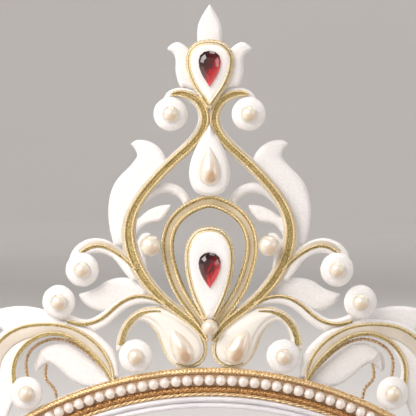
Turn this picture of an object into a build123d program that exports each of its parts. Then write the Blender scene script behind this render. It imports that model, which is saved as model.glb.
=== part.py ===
from build123d import *
from collections import namedtuple
from math import asin, cos, hypot, pi, radians, sin, sqrt
import os

# Mukut crown: an open scrollwork front of white felt, gold cord, pearls and red stones,
# standing on a satin-covered band that arches over the forehead and closes behind the head.
#
# The front faces -Y. Its pieces are cut from flat patterns and lie in curved layers, one in
# front of the other, round one upright axis behind the crown. All lengths are millimetres.

# Paper pattern: every outline is drawn on squares of this size, counted outwards from the
# middle and upwards from the centre of the middle pearl of the pearl row.
square = 3.75

# Head band, seen from above.
front_radius = 220.0
front_half_width = 84.0
corner_radius = 24.0
side_length = 20.0
band_wall = 3.2

# Head band, seen from the front.
arch_radius = 135.4
arch_half_width = 82.0
band_blend_radius = 34.0
bead_diameter = 4.0
top_braid_width = 2.5
bottom_braid_width = 3.8
roll_width = 1.9
roll_groove = 0.5
roll_depth = 1.8

# Layers of the front.
glue_gap = 0.2
leaf_thickness = 2.4
felt_thickness = 3.2
cord_height = 1.3
pad_thickness = 3.4

# Widths of scrolls and cords.
stem_width = 4.5
loop_width = 4.7
stem_cord_width = 2.3
branch_cord_width = 1.0
loop_cord_width = 1.0
volute_cord_width = 1.0

# Pads, buttons, pearls and stones.
crest_pad_length = 25.6
crest_pad_width = 17.2
pendant_pad_length = 27.0
pendant_pad_width = 15.4
heart_pad_length = 38.5
heart_pad_width = 17.8
pad_bevel = 1.0
disc_diameter = 12.8
disc_height = 4.4
disc_rim = 1.6
disc_flat = 2.0
disc_pearl_diameter = 5.6
loop_pearl_diameter = 7.8
base_pearl_diameter = 6.2
base_coil_diameter = 4.6
pendant_pearl_length = 14.6
pendant_pearl_width = 7.9
comma_pearl_length = 16.4
comma_pearl_width = 8.2
ruby_length = 13.5
ruby_width = 8.3
ruby_girdle = 0.7
ruby_crown = 1.7
ruby_table = 0.55

# Share of a round pearl's diameter that stands in front of its flat, share of a stone's length
# at which its table is centred, and the slope of a drop at its point.
ball_rise = 0.8
ruby_middle = 0.58
point_slope = 0.45

# Pearl row.
bead_gap = 0.22
thread_width = 0.7
thread_clearance = 0.2
braid_end_angle = 37.0

# Worked out from the sizes above.
bead_room = bead_diameter / 2 + glue_gap
braid_height = 2 * bead_room + top_braid_width + bottom_braid_width
roll_height = 2 * roll_width + roll_groove
band_height = roll_height + glue_gap + braid_height
band_bottom_radius = arch_radius - bead_room - bottom_braid_width - glue_gap - roll_height
band_top_radius = band_bottom_radius + band_height
arch_centre_z = -sqrt(band_bottom_radius**2 - arch_half_width**2)
pattern_z = arch_centre_z + arch_radius

front_depth = front_radius - sqrt(front_radius**2 - front_half_width**2)
front_turn = asin(front_half_width / front_radius)
corner_x = front_half_width - corner_radius * sin(front_turn)
corner_y = front_depth + corner_radius * cos(front_turn)
ring_half_width = corner_x + corner_radius
ring_depth = corner_y + side_length + ring_half_width

cord_layer = felt_thickness + glue_gap
trim_layer = felt_thickness + glue_gap
leaf_layer = -glue_gap - leaf_thickness
tall = 60 * square
deep = 2 * front_depth + 10 * felt_thickness
touch = 0.01

Point = namedtuple("Point", "across up")
Row = namedtuple("Row", "across up share")

# Outlines of the felt, for the right-hand side, in pattern squares. Each line is one stroke
# of the outline, and starts where the stroke before it ended.
ACANTHUS = [
    [Point(7.93, 23.57), Point(7.4, 23.95), Point(6.7, 24.0), Point(5.56, 23.6), Point(4.3, 21.7)],
    [Point(4.3, 21.7), Point(6.6, 18.8), Point(7.9, 16.2), Point(8.2, 13.4)],
    [Point(8.2, 13.4), Point(9.6, 13.3)],
    [Point(9.6, 13.3), Point(10.05, 15.1), Point(10.2, 16.8), Point(10.0, 18.5), Point(9.35, 19.95),
     Point(8.23, 21.15), Point(7.25, 22.4)],
    [Point(7.25, 22.4), Point(7.45, 23.0), Point(7.93, 23.57)],
]
ARCH_LEAF = [
    [Point(5.4, 19.6), Point(4.1, 19.7), Point(3.05, 19.35), Point(2.3, 18.65), Point(1.9, 17.8)],
    [Point(1.9, 17.8), Point(2.6, 17.3)],
    [Point(2.6, 17.3), Point(3.1, 18.2), Point(3.95, 18.65), Point(5.06, 18.6), Point(6.05, 18.0),
     Point(6.75, 17.2), Point(7.2, 16.3)],
    [Point(7.2, 16.3), Point(7.6, 16.7)],
    [Point(7.6, 16.7), Point(6.9, 18.3), Point(5.4, 19.6)],
]
SMALL_LEAF = [
    [Point(3.88, 17.5), Point(5.06, 17.4), Point(6.25, 16.9), Point(7.15, 16.2), Point(7.7, 15.6)],
    [Point(7.7, 15.6), Point(8.0, 14.6), Point(7.4, 13.9)],
    [Point(7.4, 13.9), Point(7.05, 15.0), Point(6.25, 15.6), Point(4.87, 15.95), Point(4.47, 16.3),
     Point(3.88, 17.5)],
]
LOWER_LEAF = [
    [Point(13.2, 8.5), Point(12.3, 8.75), Point(11.45, 9.1), Point(10.6, 9.7), Point(9.5, 10.1),
     Point(8.3, 10.15), Point(7.3, 9.9)],
    [Point(7.3, 9.9), Point(6.2, 8.8), Point(6.6, 8.1)],
    [Point(6.6, 8.1), Point(8.2, 7.9), Point(9.6, 7.0)],
    [Point(9.6, 7.0), Point(10.6, 6.75), Point(11.5, 6.9), Point(12.5, 7.4), Point(13.2, 8.5)],
]
FAN_LEAF = [
    [Point(9.97, 0.0), Point(10.5, 0.6), Point(12.0, 1.8), Point(13.4, 2.9), Point(14.7, 3.5),
     Point(16.0, 3.46), Point(17.0, 2.9), Point(17.6, 2.1), Point(17.75, 1.2), Point(17.6, 0.56)],
    [Point(17.6, 0.56), Point(17.0, 1.05), Point(16.2, 1.5)],
    [Point(16.2, 1.5), Point(15.1, 0.8), Point(13.8, -0.3), Point(12.5, -0.85), Point(11.3, -1.0)],
    [Point(11.3, -1.0), Point(10.2, -1.9), Point(9.6, -1.0), Point(9.97, 0.0)],
]
OUTER_LEAF = [
    [Point(15.0, 5.3), Point(15.7, 6.3), Point(16.3, 6.7), Point(17.4, 7.05), Point(19.25, 7.2),
     Point(21.2, 6.9), Point(23.4, 5.6)],
    [Point(23.4, 5.6), Point(22.2, 5.4), Point(21.2, 4.9), Point(20.4, 3.9)],
    [Point(20.4, 3.9), Point(17.6, 4.6), Point(15.0, 5.3)],
]
VOLUTE = [
    [Point(8.95, -0.9), Point(9.1, 1.0), Point(9.6, 2.75), Point(10.7, 4.0), Point(12.0, 4.95),
     Point(13.7, 5.55), Point(15.4, 5.95), Point(17.4, 5.9), Point(19.2, 5.55), Point(20.9, 4.7),
     Point(22.2, 3.1), Point(22.9, 0.8), Point(23.0, -2.5), Point(22.6, -7.5)],
    [Point(22.6, -7.5), Point(20.8, -7.0)],
    [Point(20.8, -7.0), Point(20.6, -4.4), Point(19.9, -2.6), Point(19.3, -0.6), Point(19.35, 1.0),
     Point(18.95, 2.2), Point(18.1, 3.25), Point(16.9, 3.95), Point(15.55, 4.2), Point(14.1, 3.95),
     Point(12.6, 3.15), Point(11.3, 1.95), Point(10.5, 0.8), Point(10.0, -0.3), Point(9.7, -1.2)],
    [Point(9.7, -1.2), Point(8.95, -0.9)],
]
COMMA = [
    [Point(9.4, 2.8), Point(9.3, 4.1), Point(8.9, 5.2), Point(8.1, 6.3), Point(7.0, 7.05),
     Point(5.8, 7.35), Point(4.6, 7.2), Point(3.4, 6.75), Point(2.25, 6.05), Point(1.26, 5.2),
     Point(0.47, 4.2), Point(0.2, 3.2), Point(0.42, 2.1), Point(1.2, 1.3), Point(2.25, 1.0),
     Point(3.3, 1.3), Point(4.15, 2.1), Point(4.6, 3.1), Point(5.0, 4.2), Point(5.75, 5.25),
     Point(6.8, 5.8), Point(7.6, 5.4), Point(8.0, 4.7), Point(8.2, 3.9), Point(8.2, 2.9)],
    [Point(8.2, 2.9), Point(9.4, 2.8)],
]
SPEAR = [
    [Point(0.0, 37.6), Point(0.65, 36.6), Point(1.15, 35.5), Point(1.24, 34.6), Point(1.2, 33.6)],
    [Point(1.2, 33.6), Point(1.0, 30.0)],
    [Point(1.0, 30.0), Point(-1.0, 30.0)],
    [Point(-1.0, 30.0), Point(-1.2, 33.6)],
    [Point(-1.2, 33.6), Point(-1.24, 34.6), Point(-1.15, 35.5), Point(-0.65, 36.6), Point(0.0, 37.6)],
]
CREST_LEAF = [
    [Point(4.28, 33.0), Point(3.8, 33.6), Point(3.2, 33.78), Point(2.5, 33.45), Point(1.8, 32.9)],
    [Point(1.8, 32.9), Point(0.0, 32.5)],
    [Point(0.0, 32.5), Point(0.0, 28.6)],
    [Point(0.0, 28.6), Point(2.0, 28.2), Point(2.75, 29.1)],
    [Point(2.75, 29.1), Point(3.25, 30.1), Point(3.42, 31.3), Point(3.45, 32.3), Point(3.8, 32.8),
     Point(4.28, 33.0)],
]

# Scroll and cord paths, with the share of the full width at each point.
STEM = [
    Row(3.95, 26.9, 0.8), Row(4.3, 27.75, 0.7), Row(4.05, 28.4, 0.65), Row(3.2, 28.7, 0.85),
    Row(2.2, 28.55, 0.95), Row(1.15, 27.9, 1.0), Row(0.62, 26.9, 1.0), Row(0.6, 25.7, 1.0), Row(1.35, 24.2, 1.0),
    Row(3.2, 22.35, 1.0), Row(5.85, 19.65, 1.0), Row(7.5, 17.3, 1.0), Row(8.12, 15.2, 1.05),
    Row(7.95, 13.2, 1.15), Row(7.2, 11.0, 1.15), Row(5.9, 9.25, 1.0), Row(4.2, 7.65, 0.9),
    Row(2.6, 6.7, 0.7),
]
BRANCH_1 = [
    Row(7.2, 10.2, 1.0), Row(8.2, 11.4, 1.15), Row(9.5, 12.75, 1.05), Row(11.1, 13.4, 1.2),
    Row(12.4, 13.15, 1.25), Row(13.3, 12.3, 1.2), Row(13.6, 11.3, 0.9),
]
BRANCH_2 = [
    Row(4.6, 7.75, 0.7), Row(6.8, 8.05, 0.75), Row(8.2, 7.8, 0.9), Row(9.5, 6.95, 1.0),
    Row(10.8, 5.9, 1.1), Row(12.1, 5.35, 1.1), Row(13.6, 5.55, 1.1), Row(15.0, 6.3, 1.0),
]
HOOK = [
    Row(7.0, 10.4, 0.9), Row(6.95, 12.0, 0.9), Row(7.0, 13.2, 0.75), Row(6.6, 14.3, 0.55),
    Row(5.9, 14.5, 0.3),
]
STEM_GOLD = [
    Row(3.6, 28.6, 0.7), Row(2.2, 28.5, 0.9), Row(1.2, 27.95, 1.0), Row(0.65, 27.1, 1.0),
    Row(0.5, 26.0, 1.0), Row(1.3, 24.2, 1.0), Row(3.2, 22.35, 1.0), Row(5.85, 19.65, 1.0),
    Row(7.5, 17.3, 1.0), Row(8.12, 15.2, 1.0), Row(7.95, 13.2, 1.0), Row(7.1, 11.0, 1.0),
    Row(5.9, 9.25, 1.0), Row(4.2, 7.6, 1.0), Row(2.3, 6.15, 1.0), Row(1.05, 5.0, 0.9),
    Row(0.3, 3.9, 0.5),
]
BRANCH_1_GOLD = [
    Row(7.3, 11.0, 1.0), Row(8.4, 12.1, 1.0), Row(9.7, 13.0, 1.0), Row(11.05, 13.45, 1.0),
    Row(12.1, 13.25, 1.0), Row(13.0, 12.65, 0.8),
]
BRANCH_2_GOLD = [
    Row(4.4, 7.6, 1.0), Row(6.0, 8.3, 1.0), Row(7.2, 8.4, 1.0), Row(8.4, 8.05, 1.0),
    Row(9.6, 7.2, 1.0), Row(10.8, 6.2, 1.0), Row(12.1, 5.65, 1.0), Row(13.3, 5.6, 1.0),
    Row(14.3, 5.85, 0.8),
]
LOOP = [
    Row(-1.0, 17.65, 1.0), Row(0.0, 17.85, 1.0), Row(1.1, 17.6, 1.0), Row(2.5, 16.85, 1.0),
    Row(3.55, 15.75, 1.0), Row(4.1, 14.4, 1.0), Row(4.2, 13.0, 1.0), Row(3.85, 11.2, 1.0),
    Row(3.25, 9.5, 1.0), Row(2.3, 7.8, 0.9), Row(1.2, 6.3, 0.8), Row(0.0, 4.9, 0.7),
]
VOLUTE_LINE_A = [
    Row(9.6, -0.2, 1.0), Row(9.85, 1.3, 1.0), Row(10.7, 2.95, 1.0), Row(12.0, 4.2, 1.0),
    Row(13.8, 5.15, 1.0), Row(15.5, 5.5, 1.0), Row(17.4, 5.5, 1.0), Row(19.0, 5.2, 1.0),
    Row(20.7, 4.25, 1.0), Row(21.9, 2.8, 1.0), Row(22.45, 0.7, 1.0), Row(22.5, -2.5, 1.0),
    Row(22.1, -5.6, 1.0),
]
VOLUTE_LINE_B = [
    Row(9.6, -0.2, 1.0), Row(10.45, 1.2, 1.0), Row(11.6, 2.55, 1.0), Row(12.9, 3.65, 1.0),
    Row(14.25, 4.4, 1.0), Row(15.6, 4.67, 1.0), Row(17.0, 4.45, 1.0), Row(18.3, 3.75, 1.0),
    Row(19.25, 2.75, 1.0), Row(19.8, 1.6, 1.0), Row(19.95, 0.4, 1.0), Row(19.8, -0.9, 1.0),
]
VOLUTE_WIRE = [
    Row(9.6, -0.2, 1.0), Row(10.5, 0.85, 1.0), Row(11.6, 1.95, 0.9), Row(12.9, 3.05, 0.9),
    Row(14.25, 3.75, 0.9), Row(15.6, 3.95, 0.9), Row(16.8, 3.65, 0.9), Row(17.85, 2.95, 0.9),
    Row(18.45, 1.9, 0.9), Row(18.5, 1.0, 0.9), Row(18.35, 0.1, 0.9),
]

# Half outline of a drop, from its point up to its round end: shares of half its width and of
# its length.
DROP = [Point(0.33, 0.157), Point(0.6, 0.286), Point(0.88, 0.48), Point(1.0, 0.67), Point(0.84, 0.88)]

# Places of pads, buttons and pearls, in pattern squares. The pads and stones are placed by
# their lower point.
CREST_PAD_FOOT = Point(0.0, 27.1)
CREST_RUBY_FOOT = Point(0.0, 29.3)
PENDANT_PAD_TOP = Point(0.0, 25.6)
PENDANT_PEARL_TOP = Point(0.0, 23.4)
HEART_PAD_FOOT = Point(0.0, 5.0)
HEART_RUBY_FOOT = Point(0.0, 9.2)
BASE_PEARL = Point(0.0, 5.3)
LOOP_PEARL = Point(5.85, 13.45)
COMMA_PEARL_TOP = Point(4.05, 5.6)
comma_pearl_lean = 27.0
DISCS = {
    "top": Point(3.88, 26.6),
    "side": Point(12.7, 11.0),
    "low": Point(15.05, 7.75),
    "inner": Point(7.35, 2.35),
}
# The corner button stands on the band at this angle from the middle of the arch.
corner_disc_angle = 27.8

SIDES = {"left": -1, "right": 1}

# The crown is centred front to back between the tips of its top pearls and its rear roll.
disc_top = front_radius + trim_layer + disc_height + glue_gap
top_turn = asin(DISCS["top"].across * square / disc_top)
top_pearl_radius = disc_top + (ball_rise - 0.5) * disc_pearl_diameter
front_reach = top_pearl_radius * cos(top_turn) + disc_pearl_diameter / 2 - front_radius
front_y = (front_reach - ring_depth - band_wall - roll_depth) / 2
axis_y = front_y + front_radius
arch_plane = Plane.XZ.offset(-front_y)


def at(point, side=1):
    """Place of a pattern point on the arch plane."""
    return (side * point.across * square, pattern_z + point.up * square)


def front_plane(x, z, lift):
    """Plane that touches the curved layer at this lift, with its z axis pointing forwards."""
    radius = front_radius + lift
    turn = asin(x / radius)
    return Plane(
        origin=(x, axis_y - radius * cos(turn), z),
        x_dir=(cos(turn), sin(turn), 0),
        z_dir=(sin(turn), -cos(turn), 0),
    )


def strokes(outline, side=1):
    """Face inside an outline of strokes, for the active sketch."""
    with BuildLine() as edge:
        for stroke in outline:
            places = [at(point, side) for point in stroke]
            if len(places) == 2:
                Line(*places)
            else:
                Spline(*places)
    make_face(edge.edges())


def ribbon(rows, width, side=1, shift=0.0):
    """Face along a path, for the active sketch; shift moves it sideways off the path."""
    centres = [at(row, side) for row in rows]
    near = []
    far = []
    for index, (x, z) in enumerate(centres):
        before = centres[max(index - 1, 0)]
        after = centres[min(index + 1, len(centres) - 1)]
        run = hypot(after[0] - before[0], after[1] - before[1])
        across_x = (before[1] - after[1]) / run
        across_z = (after[0] - before[0]) / run
        near_move = rows[index].share * (shift - width / 2)
        far_move = rows[index].share * (shift + width / 2)
        near.append((x + across_x * near_move, z + across_z * near_move))
        far.append((x + across_x * far_move, z + across_z * far_move))
    with BuildLine() as edge:
        Spline(*near)
        Line(near[-1], far[-1])
        Spline(*reversed(far))
        Line(far[0], near[0])
    make_face(edge.edges())


def with_gap(outline, side=1):
    """Face inside an outline and as far round it as the glue gap, for the active sketch."""
    strokes(outline, side)
    for stroke in outline:
        ribbon([Row(point.across, point.up, 1.0) for point in stroke], 2 * glue_gap, side)


def drop_face(length, width, foot=0.0):
    """Drop-shaped face for the active sketch, with its point this far up the y axis."""
    right = [(share.across * width / 2, foot + share.up * length) for share in DROP]
    left = [(-x, z) for x, z in reversed(right)]
    top = foot + length
    with BuildLine() as edge:
        Spline((0, foot), *right, (0, top), tangents=((point_slope, 1), (-1, 0)))
        Spline((0, top), *left, (0, foot), tangents=((-1, 0), (point_slope, -1)))
    make_face(edge.edges())


def on_band():
    """Cut the active sketch along the arched top edge of the band, with its glue gap."""
    with Locations((0, arch_centre_z)):
        Circle(band_top_radius + glue_gap, mode=Mode.SUBTRACT)


def keep_layer(back, thickness):
    """Keep what lies in the curved layer that starts this far in front of the felt's back."""
    with BuildSketch(Plane.XY) as shell:
        with Locations((0, axis_y)):
            Circle(front_radius + back + thickness)
            Circle(front_radius + back, mode=Mode.SUBTRACT)
    extrude(shell.sketch, amount=tall, mode=Mode.INTERSECT)


def through_layer(back, thickness):
    """Extrude the pending front outline right through and keep one curved layer of it."""
    extrude(amount=deep, both=True)
    keep_layer(back, thickness)


def ring_face(grow):
    """Plan of the head opening, grown by an even margin, in the active sketch."""
    turn = front_turn
    radius = front_radius + grow
    corner = corner_radius + grow
    back_y = front_y + corner_y + side_length
    corner_start = (corner_x + corner * sin(turn), front_y + corner_y - corner * cos(turn))
    half_turn = (turn + pi / 2) / 2
    corner_middle = (corner_x + corner * sin(half_turn), front_y + corner_y - corner * cos(half_turn))
    corner_end = (corner_x + corner, front_y + corner_y)
    with BuildLine() as edge:
        ThreePointArc((-corner_start[0], corner_start[1]), (0, axis_y - radius), corner_start)
        ThreePointArc(corner_start, corner_middle, corner_end)
        Line(corner_end, (corner_end[0], back_y))
        ThreePointArc((corner_end[0], back_y), (0, back_y + corner_end[0]), (-corner_end[0], back_y))
        Line((-corner_end[0], back_y), (-corner_end[0], corner_end[1]))
        ThreePointArc(
            (-corner_end[0], corner_end[1]),
            (-corner_middle[0], corner_middle[1]),
            (-corner_start[0], corner_start[1]),
        )
    make_face(edge.edges())


def ring_face_inside(grow):
    """Cut the head opening, grown by a margin, out of the active sketch."""
    with BuildSketch(mode=Mode.PRIVATE) as hole:
        ring_face(grow)
    add(hole.sketch, mode=Mode.SUBTRACT)


def band_strip(low, high, back, thickness):
    """Closed strip of the band between two heights over its lower edge, and two wall depths."""
    half_y = front_y + corner_y + side_length / 2
    with BuildPart() as strip:
        with BuildSketch():
            ring_face(back + thickness)
            ring_face_inside(back)
            with Locations((0, half_y)):
                Rectangle(tall, tall, align=(Align.CENTER, Align.MAX), mode=Mode.INTERSECT)
        extrude(amount=tall)
        with BuildSketch(arch_plane):
            Rectangle(tall, high, align=(Align.CENTER, Align.MIN))
            with Locations((0, arch_centre_z)):
                Circle(band_bottom_radius + high)
            with Locations((0, arch_centre_z)):
                Circle(band_bottom_radius + low, mode=Mode.SUBTRACT)
            with Locations((0, low)):
                Rectangle(tall, tall, align=(Align.CENTER, Align.MAX), mode=Mode.SUBTRACT)
            for edge_z in (low, high):
                bends = vertices().filter_by_position(Axis.Y, edge_z - touch, edge_z + touch)
                bends = bends.filter_by_position(Axis.X, touch - tall / 2, tall / 2 - touch)
                fillet(bends, band_blend_radius - edge_z)
        extrude(amount=tall, both=True, mode=Mode.INTERSECT)
        with BuildSketch(Plane.XY.offset(low)):
            ring_face(back + thickness)
            ring_face_inside(back)
            with Locations((0, half_y)):
                Rectangle(tall, 2 * tall, align=(Align.CENTER, Align.MIN), mode=Mode.INTERSECT)
        extrude(amount=high - low)
    return strip.part


def arch_ring(inner, outer):
    """Part of a ring about the centre of the arch, out to where the braids end."""
    reach = 2 * outer
    end_x = reach * sin(radians(braid_end_angle))
    end_z = arch_centre_z + reach * cos(radians(braid_end_angle))
    with Locations((0, arch_centre_z)):
        Circle(outer)
        Circle(inner, mode=Mode.SUBTRACT)
    with BuildLine() as wedge:
        Polyline((0, arch_centre_z), (end_x, end_z), (-end_x, end_z), (0, arch_centre_z))
    make_face(wedge.edges(), mode=Mode.INTERSECT)


def finish(block, label):
    """Name a piece and write it."""
    block.part.label = label
    export_step(block.part, f"parts/{label}.step")


os.makedirs("parts", exist_ok=True)

# Head band: a satin-covered wall with two rolls along its lower edge.
core = band_strip(0, band_height, 0, band_wall)
low_roll = band_strip(0, roll_width, band_wall, roll_depth)
high_roll = band_strip(roll_width + roll_groove, roll_height, band_wall, roll_depth)
with BuildPart() as base_band:
    add(core)
    add(low_roll)
    add(high_roll)
finish(base_band, "base_band")

# Gold braids on the front of the band, above and below the pearl row.
with BuildPart() as top_braid:
    with BuildSketch(arch_plane):
        arch_ring(arch_radius + bead_room, band_top_radius)
    through_layer(trim_layer, cord_height)
finish(top_braid, "top_braid")

with BuildPart() as bottom_braid:
    with BuildSketch(arch_plane):
        arch_ring(arch_radius - bead_room - bottom_braid_width, arch_radius - bead_room)
    through_layer(trim_layer, cord_height)
finish(bottom_braid, "bottom_braid")

# Pearl row: drilled beads, strung on a thread and laid along the arch.
bead_lift = trim_layer + bead_diameter / 2
bead_layer_radius = front_radius + bead_lift
thread_bore = thread_width * sqrt(2) + thread_clearance


def row_place(angle):
    """Place on the line of the pearl row, at an angle from the middle of the arch."""
    x = arch_radius * sin(angle)
    return Vector(x, axis_y - sqrt(bead_layer_radius**2 - x**2), arch_centre_z + arch_radius * cos(angle))


row_step = (bead_diameter + bead_gap) / arch_radius
row_end = radians(braid_end_angle) - row_step / 2
row_angles = [0.0]
while True:
    last = row_angles[-1]
    stretch = (row_place(last + row_step) - row_place(last)).length / (bead_diameter + bead_gap)
    if last + row_step / stretch > row_end:
        break
    row_angles.append(last + row_step / stretch)
row_angles = [-angle for angle in reversed(row_angles[1:])] + row_angles

with BuildPart() as bead:
    Sphere(bead_diameter / 2)
    Cylinder(thread_bore / 2, 2 * bead_diameter, mode=Mode.SUBTRACT)

bead_planes = []
for angle in row_angles:
    along = row_place(angle + row_step / 2) - row_place(angle - row_step / 2)
    bead_planes.append(Location(Plane(origin=row_place(angle), z_dir=along)))

with BuildPart() as pearl_string:
    with Locations(*bead_planes):
        add(bead.part)
finish(pearl_string, "pearl_string")

with BuildPart() as pearl_thread:
    with BuildSketch(arch_plane):
        arch_ring(arch_radius - thread_width / 2, arch_radius + thread_width / 2)
    through_layer(bead_lift - thread_width / 2, thread_width)
finish(pearl_thread, "pearl_thread")

# Middle of the front: the keyhole loop and the cords along its two edges.
with BuildPart() as loop:
    with BuildSketch(arch_plane):
        ribbon(LOOP, loop_width, 1)
        ribbon(LOOP, loop_width, -1)
    through_layer(0, felt_thickness)
finish(loop, "loop")

# Outlines of the pads with the glue gap round them, to trim cords by. The foot of the heart pad
# is hollowed round the base pearl.
with BuildSketch() as crest_room:
    drop_face(crest_pad_length + 2 * glue_gap, crest_pad_width + 2 * glue_gap, foot=-glue_gap)
with BuildSketch() as pendant_room:
    drop_face(pendant_pad_length + 2 * glue_gap, pendant_pad_width + 2 * glue_gap, foot=-glue_gap)
with BuildSketch() as heart_drop:
    drop_face(heart_pad_length + 2 * glue_gap, heart_pad_width + 2 * glue_gap, foot=-glue_gap)
with BuildSketch() as heart_room:
    with Locations(at(HEART_PAD_FOOT)):
        add(heart_drop.sketch)
    with Locations(at(BASE_PEARL)):
        Circle(base_pearl_diameter / 2, mode=Mode.SUBTRACT)

# The two cords meet in a small coil under the base pearl.
with BuildPart() as loop_cord:
    with BuildSketch(arch_plane):
        for side in SIDES.values():
            for edge in (-1, 1):
                ribbon(LOOP, loop_cord_width, side, edge * (loop_width - loop_cord_width) / 2)
        with Locations(at(PENDANT_PAD_TOP)):
            add(pendant_room.sketch, rotation=180, mode=Mode.SUBTRACT)
        add(heart_room.sketch, mode=Mode.SUBTRACT)
        with Locations(at(BASE_PEARL)):
            Circle(base_coil_diameter / 2)
    through_layer(cord_layer, cord_height)
finish(loop_cord, "loop_cord")


def pad(plane, length, width):
    """Padded drop with a sloping front edge, for the active part."""
    with BuildSketch(plane) as outline:
        drop_face(length, width)
    extrude(outline.sketch, amount=pad_thickness - pad_bevel)
    with BuildSketch(plane.offset(pad_thickness - pad_bevel)) as low:
        drop_face(length, width)
    with BuildSketch(plane.offset(pad_thickness)) as high:
        drop_face(length - 3 * pad_bevel, width - 2 * pad_bevel, foot=2 * pad_bevel)
    loft([low.sketch, high.sketch])


def ruby(foot):
    """Pear-cut stone with a table, for the active part; its flat back lies on the pad."""
    x, z = at(foot)
    plane = front_plane(x, z, trim_layer + pad_thickness + glue_gap)
    right = [(share.across * ruby_width / 2, share.up * ruby_length) for share in DROP]
    left = [(-across, up) for across, up in reversed(right)]
    girdle = [(0, 0)] + right + [(0, ruby_length)] + left
    middle = ruby_middle * ruby_length
    table = [(across * ruby_table, middle + (up - middle) * ruby_table) for across, up in girdle]
    with BuildSketch(plane) as back:
        Polygon(*girdle, align=None)
    extrude(back.sketch, amount=ruby_girdle)
    with BuildSketch(plane.offset(ruby_girdle)) as low:
        Polygon(*girdle, align=None)
    with BuildSketch(plane.offset(ruby_girdle + ruby_crown)) as high:
        Polygon(*table, align=None)
    loft([low.sketch, high.sketch], ruled=True)


def ball(plane, diameter):
    """Round pearl glued down by a flat on its back, for the active part."""
    with Locations(plane.offset((ball_rise - 0.5) * diameter)):
        Sphere(diameter / 2)
    with Locations(plane):
        Cylinder(diameter, diameter, align=(Align.CENTER, Align.CENTER, Align.MAX), mode=Mode.SUBTRACT)


def drop_pearl(plane, length, width):
    """Half-round drop pearl with a flat back and its point down, for the active part."""
    right = [(share.across * width / 2, share.up * length) for share in DROP]
    with BuildSketch(plane) as half:
        with BuildLine() as edge:
            Spline((0, 0), *right, (0, length), tangents=((point_slope, 1), (-1, 0)))
            Line((0, length), (0, 0))
        make_face(edge.edges())
    revolve(half.sketch, axis=Axis(plane.origin, -plane.y_dir), revolution_arc=180)


def turned(plane, angle):
    """The same plane turned about its own z axis, anticlockwise from the front, in degrees."""
    x_dir = plane.x_dir.rotate(Axis((0, 0, 0), plane.z_dir), angle)
    return Plane(origin=plane.origin, x_dir=x_dir, z_dir=plane.z_dir)


# Crest, pendant and heart: padded drops with their stones and pearl.
crest_x, crest_z = at(CREST_PAD_FOOT)
heart_x, heart_z = at(HEART_PAD_FOOT)
pendant_x, pendant_z = at(PENDANT_PAD_TOP)
pearl_x, pearl_z = at(PENDANT_PEARL_TOP)
base_x, base_z = at(BASE_PEARL)

with BuildPart() as crest_pad:
    pad(front_plane(crest_x, crest_z, trim_layer), crest_pad_length, crest_pad_width)
finish(crest_pad, "crest_pad")

with BuildPart() as crest_ruby:
    ruby(CREST_RUBY_FOOT)
finish(crest_ruby, "crest_ruby")

with BuildPart() as heart_pad:
    pad(front_plane(heart_x, heart_z, trim_layer), heart_pad_length, heart_pad_width)
    with Locations(front_plane(base_x, base_z, trim_layer)):
        Cylinder(base_pearl_diameter / 2 + glue_gap, 4 * pad_thickness, mode=Mode.SUBTRACT)
finish(heart_pad, "heart_pad")

with BuildPart() as heart_ruby:
    ruby(HEART_RUBY_FOOT)
finish(heart_ruby, "heart_ruby")

with BuildPart() as pendant_pad:
    pad(
        turned(front_plane(pendant_x, pendant_z, trim_layer), 180),
        pendant_pad_length,
        pendant_pad_width,
    )
finish(pendant_pad, "pendant_pad")

with BuildPart() as pendant_pearl:
    drop_pearl(
        turned(front_plane(pearl_x, pearl_z, trim_layer + pad_thickness + glue_gap), 180),
        pendant_pearl_length,
        pendant_pearl_width,
    )
finish(pendant_pearl, "pendant_pearl")

with BuildPart() as base_pearl:
    ball(front_plane(base_x, base_z, cord_layer + cord_height + glue_gap), base_pearl_diameter)
finish(base_pearl, "base_pearl")

# Felt behind the crest pad: the spear and its two side curls, cut from one piece. The tops of
# the stems butt against it.
with BuildSketch() as stem_tops:
    for side in SIDES.values():
        ribbon(STEM, stem_width + 2 * glue_gap, side)

with BuildPart() as crest_leaf:
    with BuildSketch(arch_plane):
        strokes(SPEAR)
        for side in SIDES.values():
            strokes(CREST_LEAF, side)
        add(stem_tops.sketch, mode=Mode.SUBTRACT)
    through_layer(0, felt_thickness)
finish(crest_leaf, "crest_leaf")

corner_disc_radius = band_top_radius + glue_gap + disc_diameter / 2
corner_turn = radians(corner_disc_angle)
disc_places = {name: at(place) for name, place in DISCS.items()}
disc_places["corner"] = (
    corner_disc_radius * sin(corner_turn),
    arch_centre_z + corner_disc_radius * cos(corner_turn),
)

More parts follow.
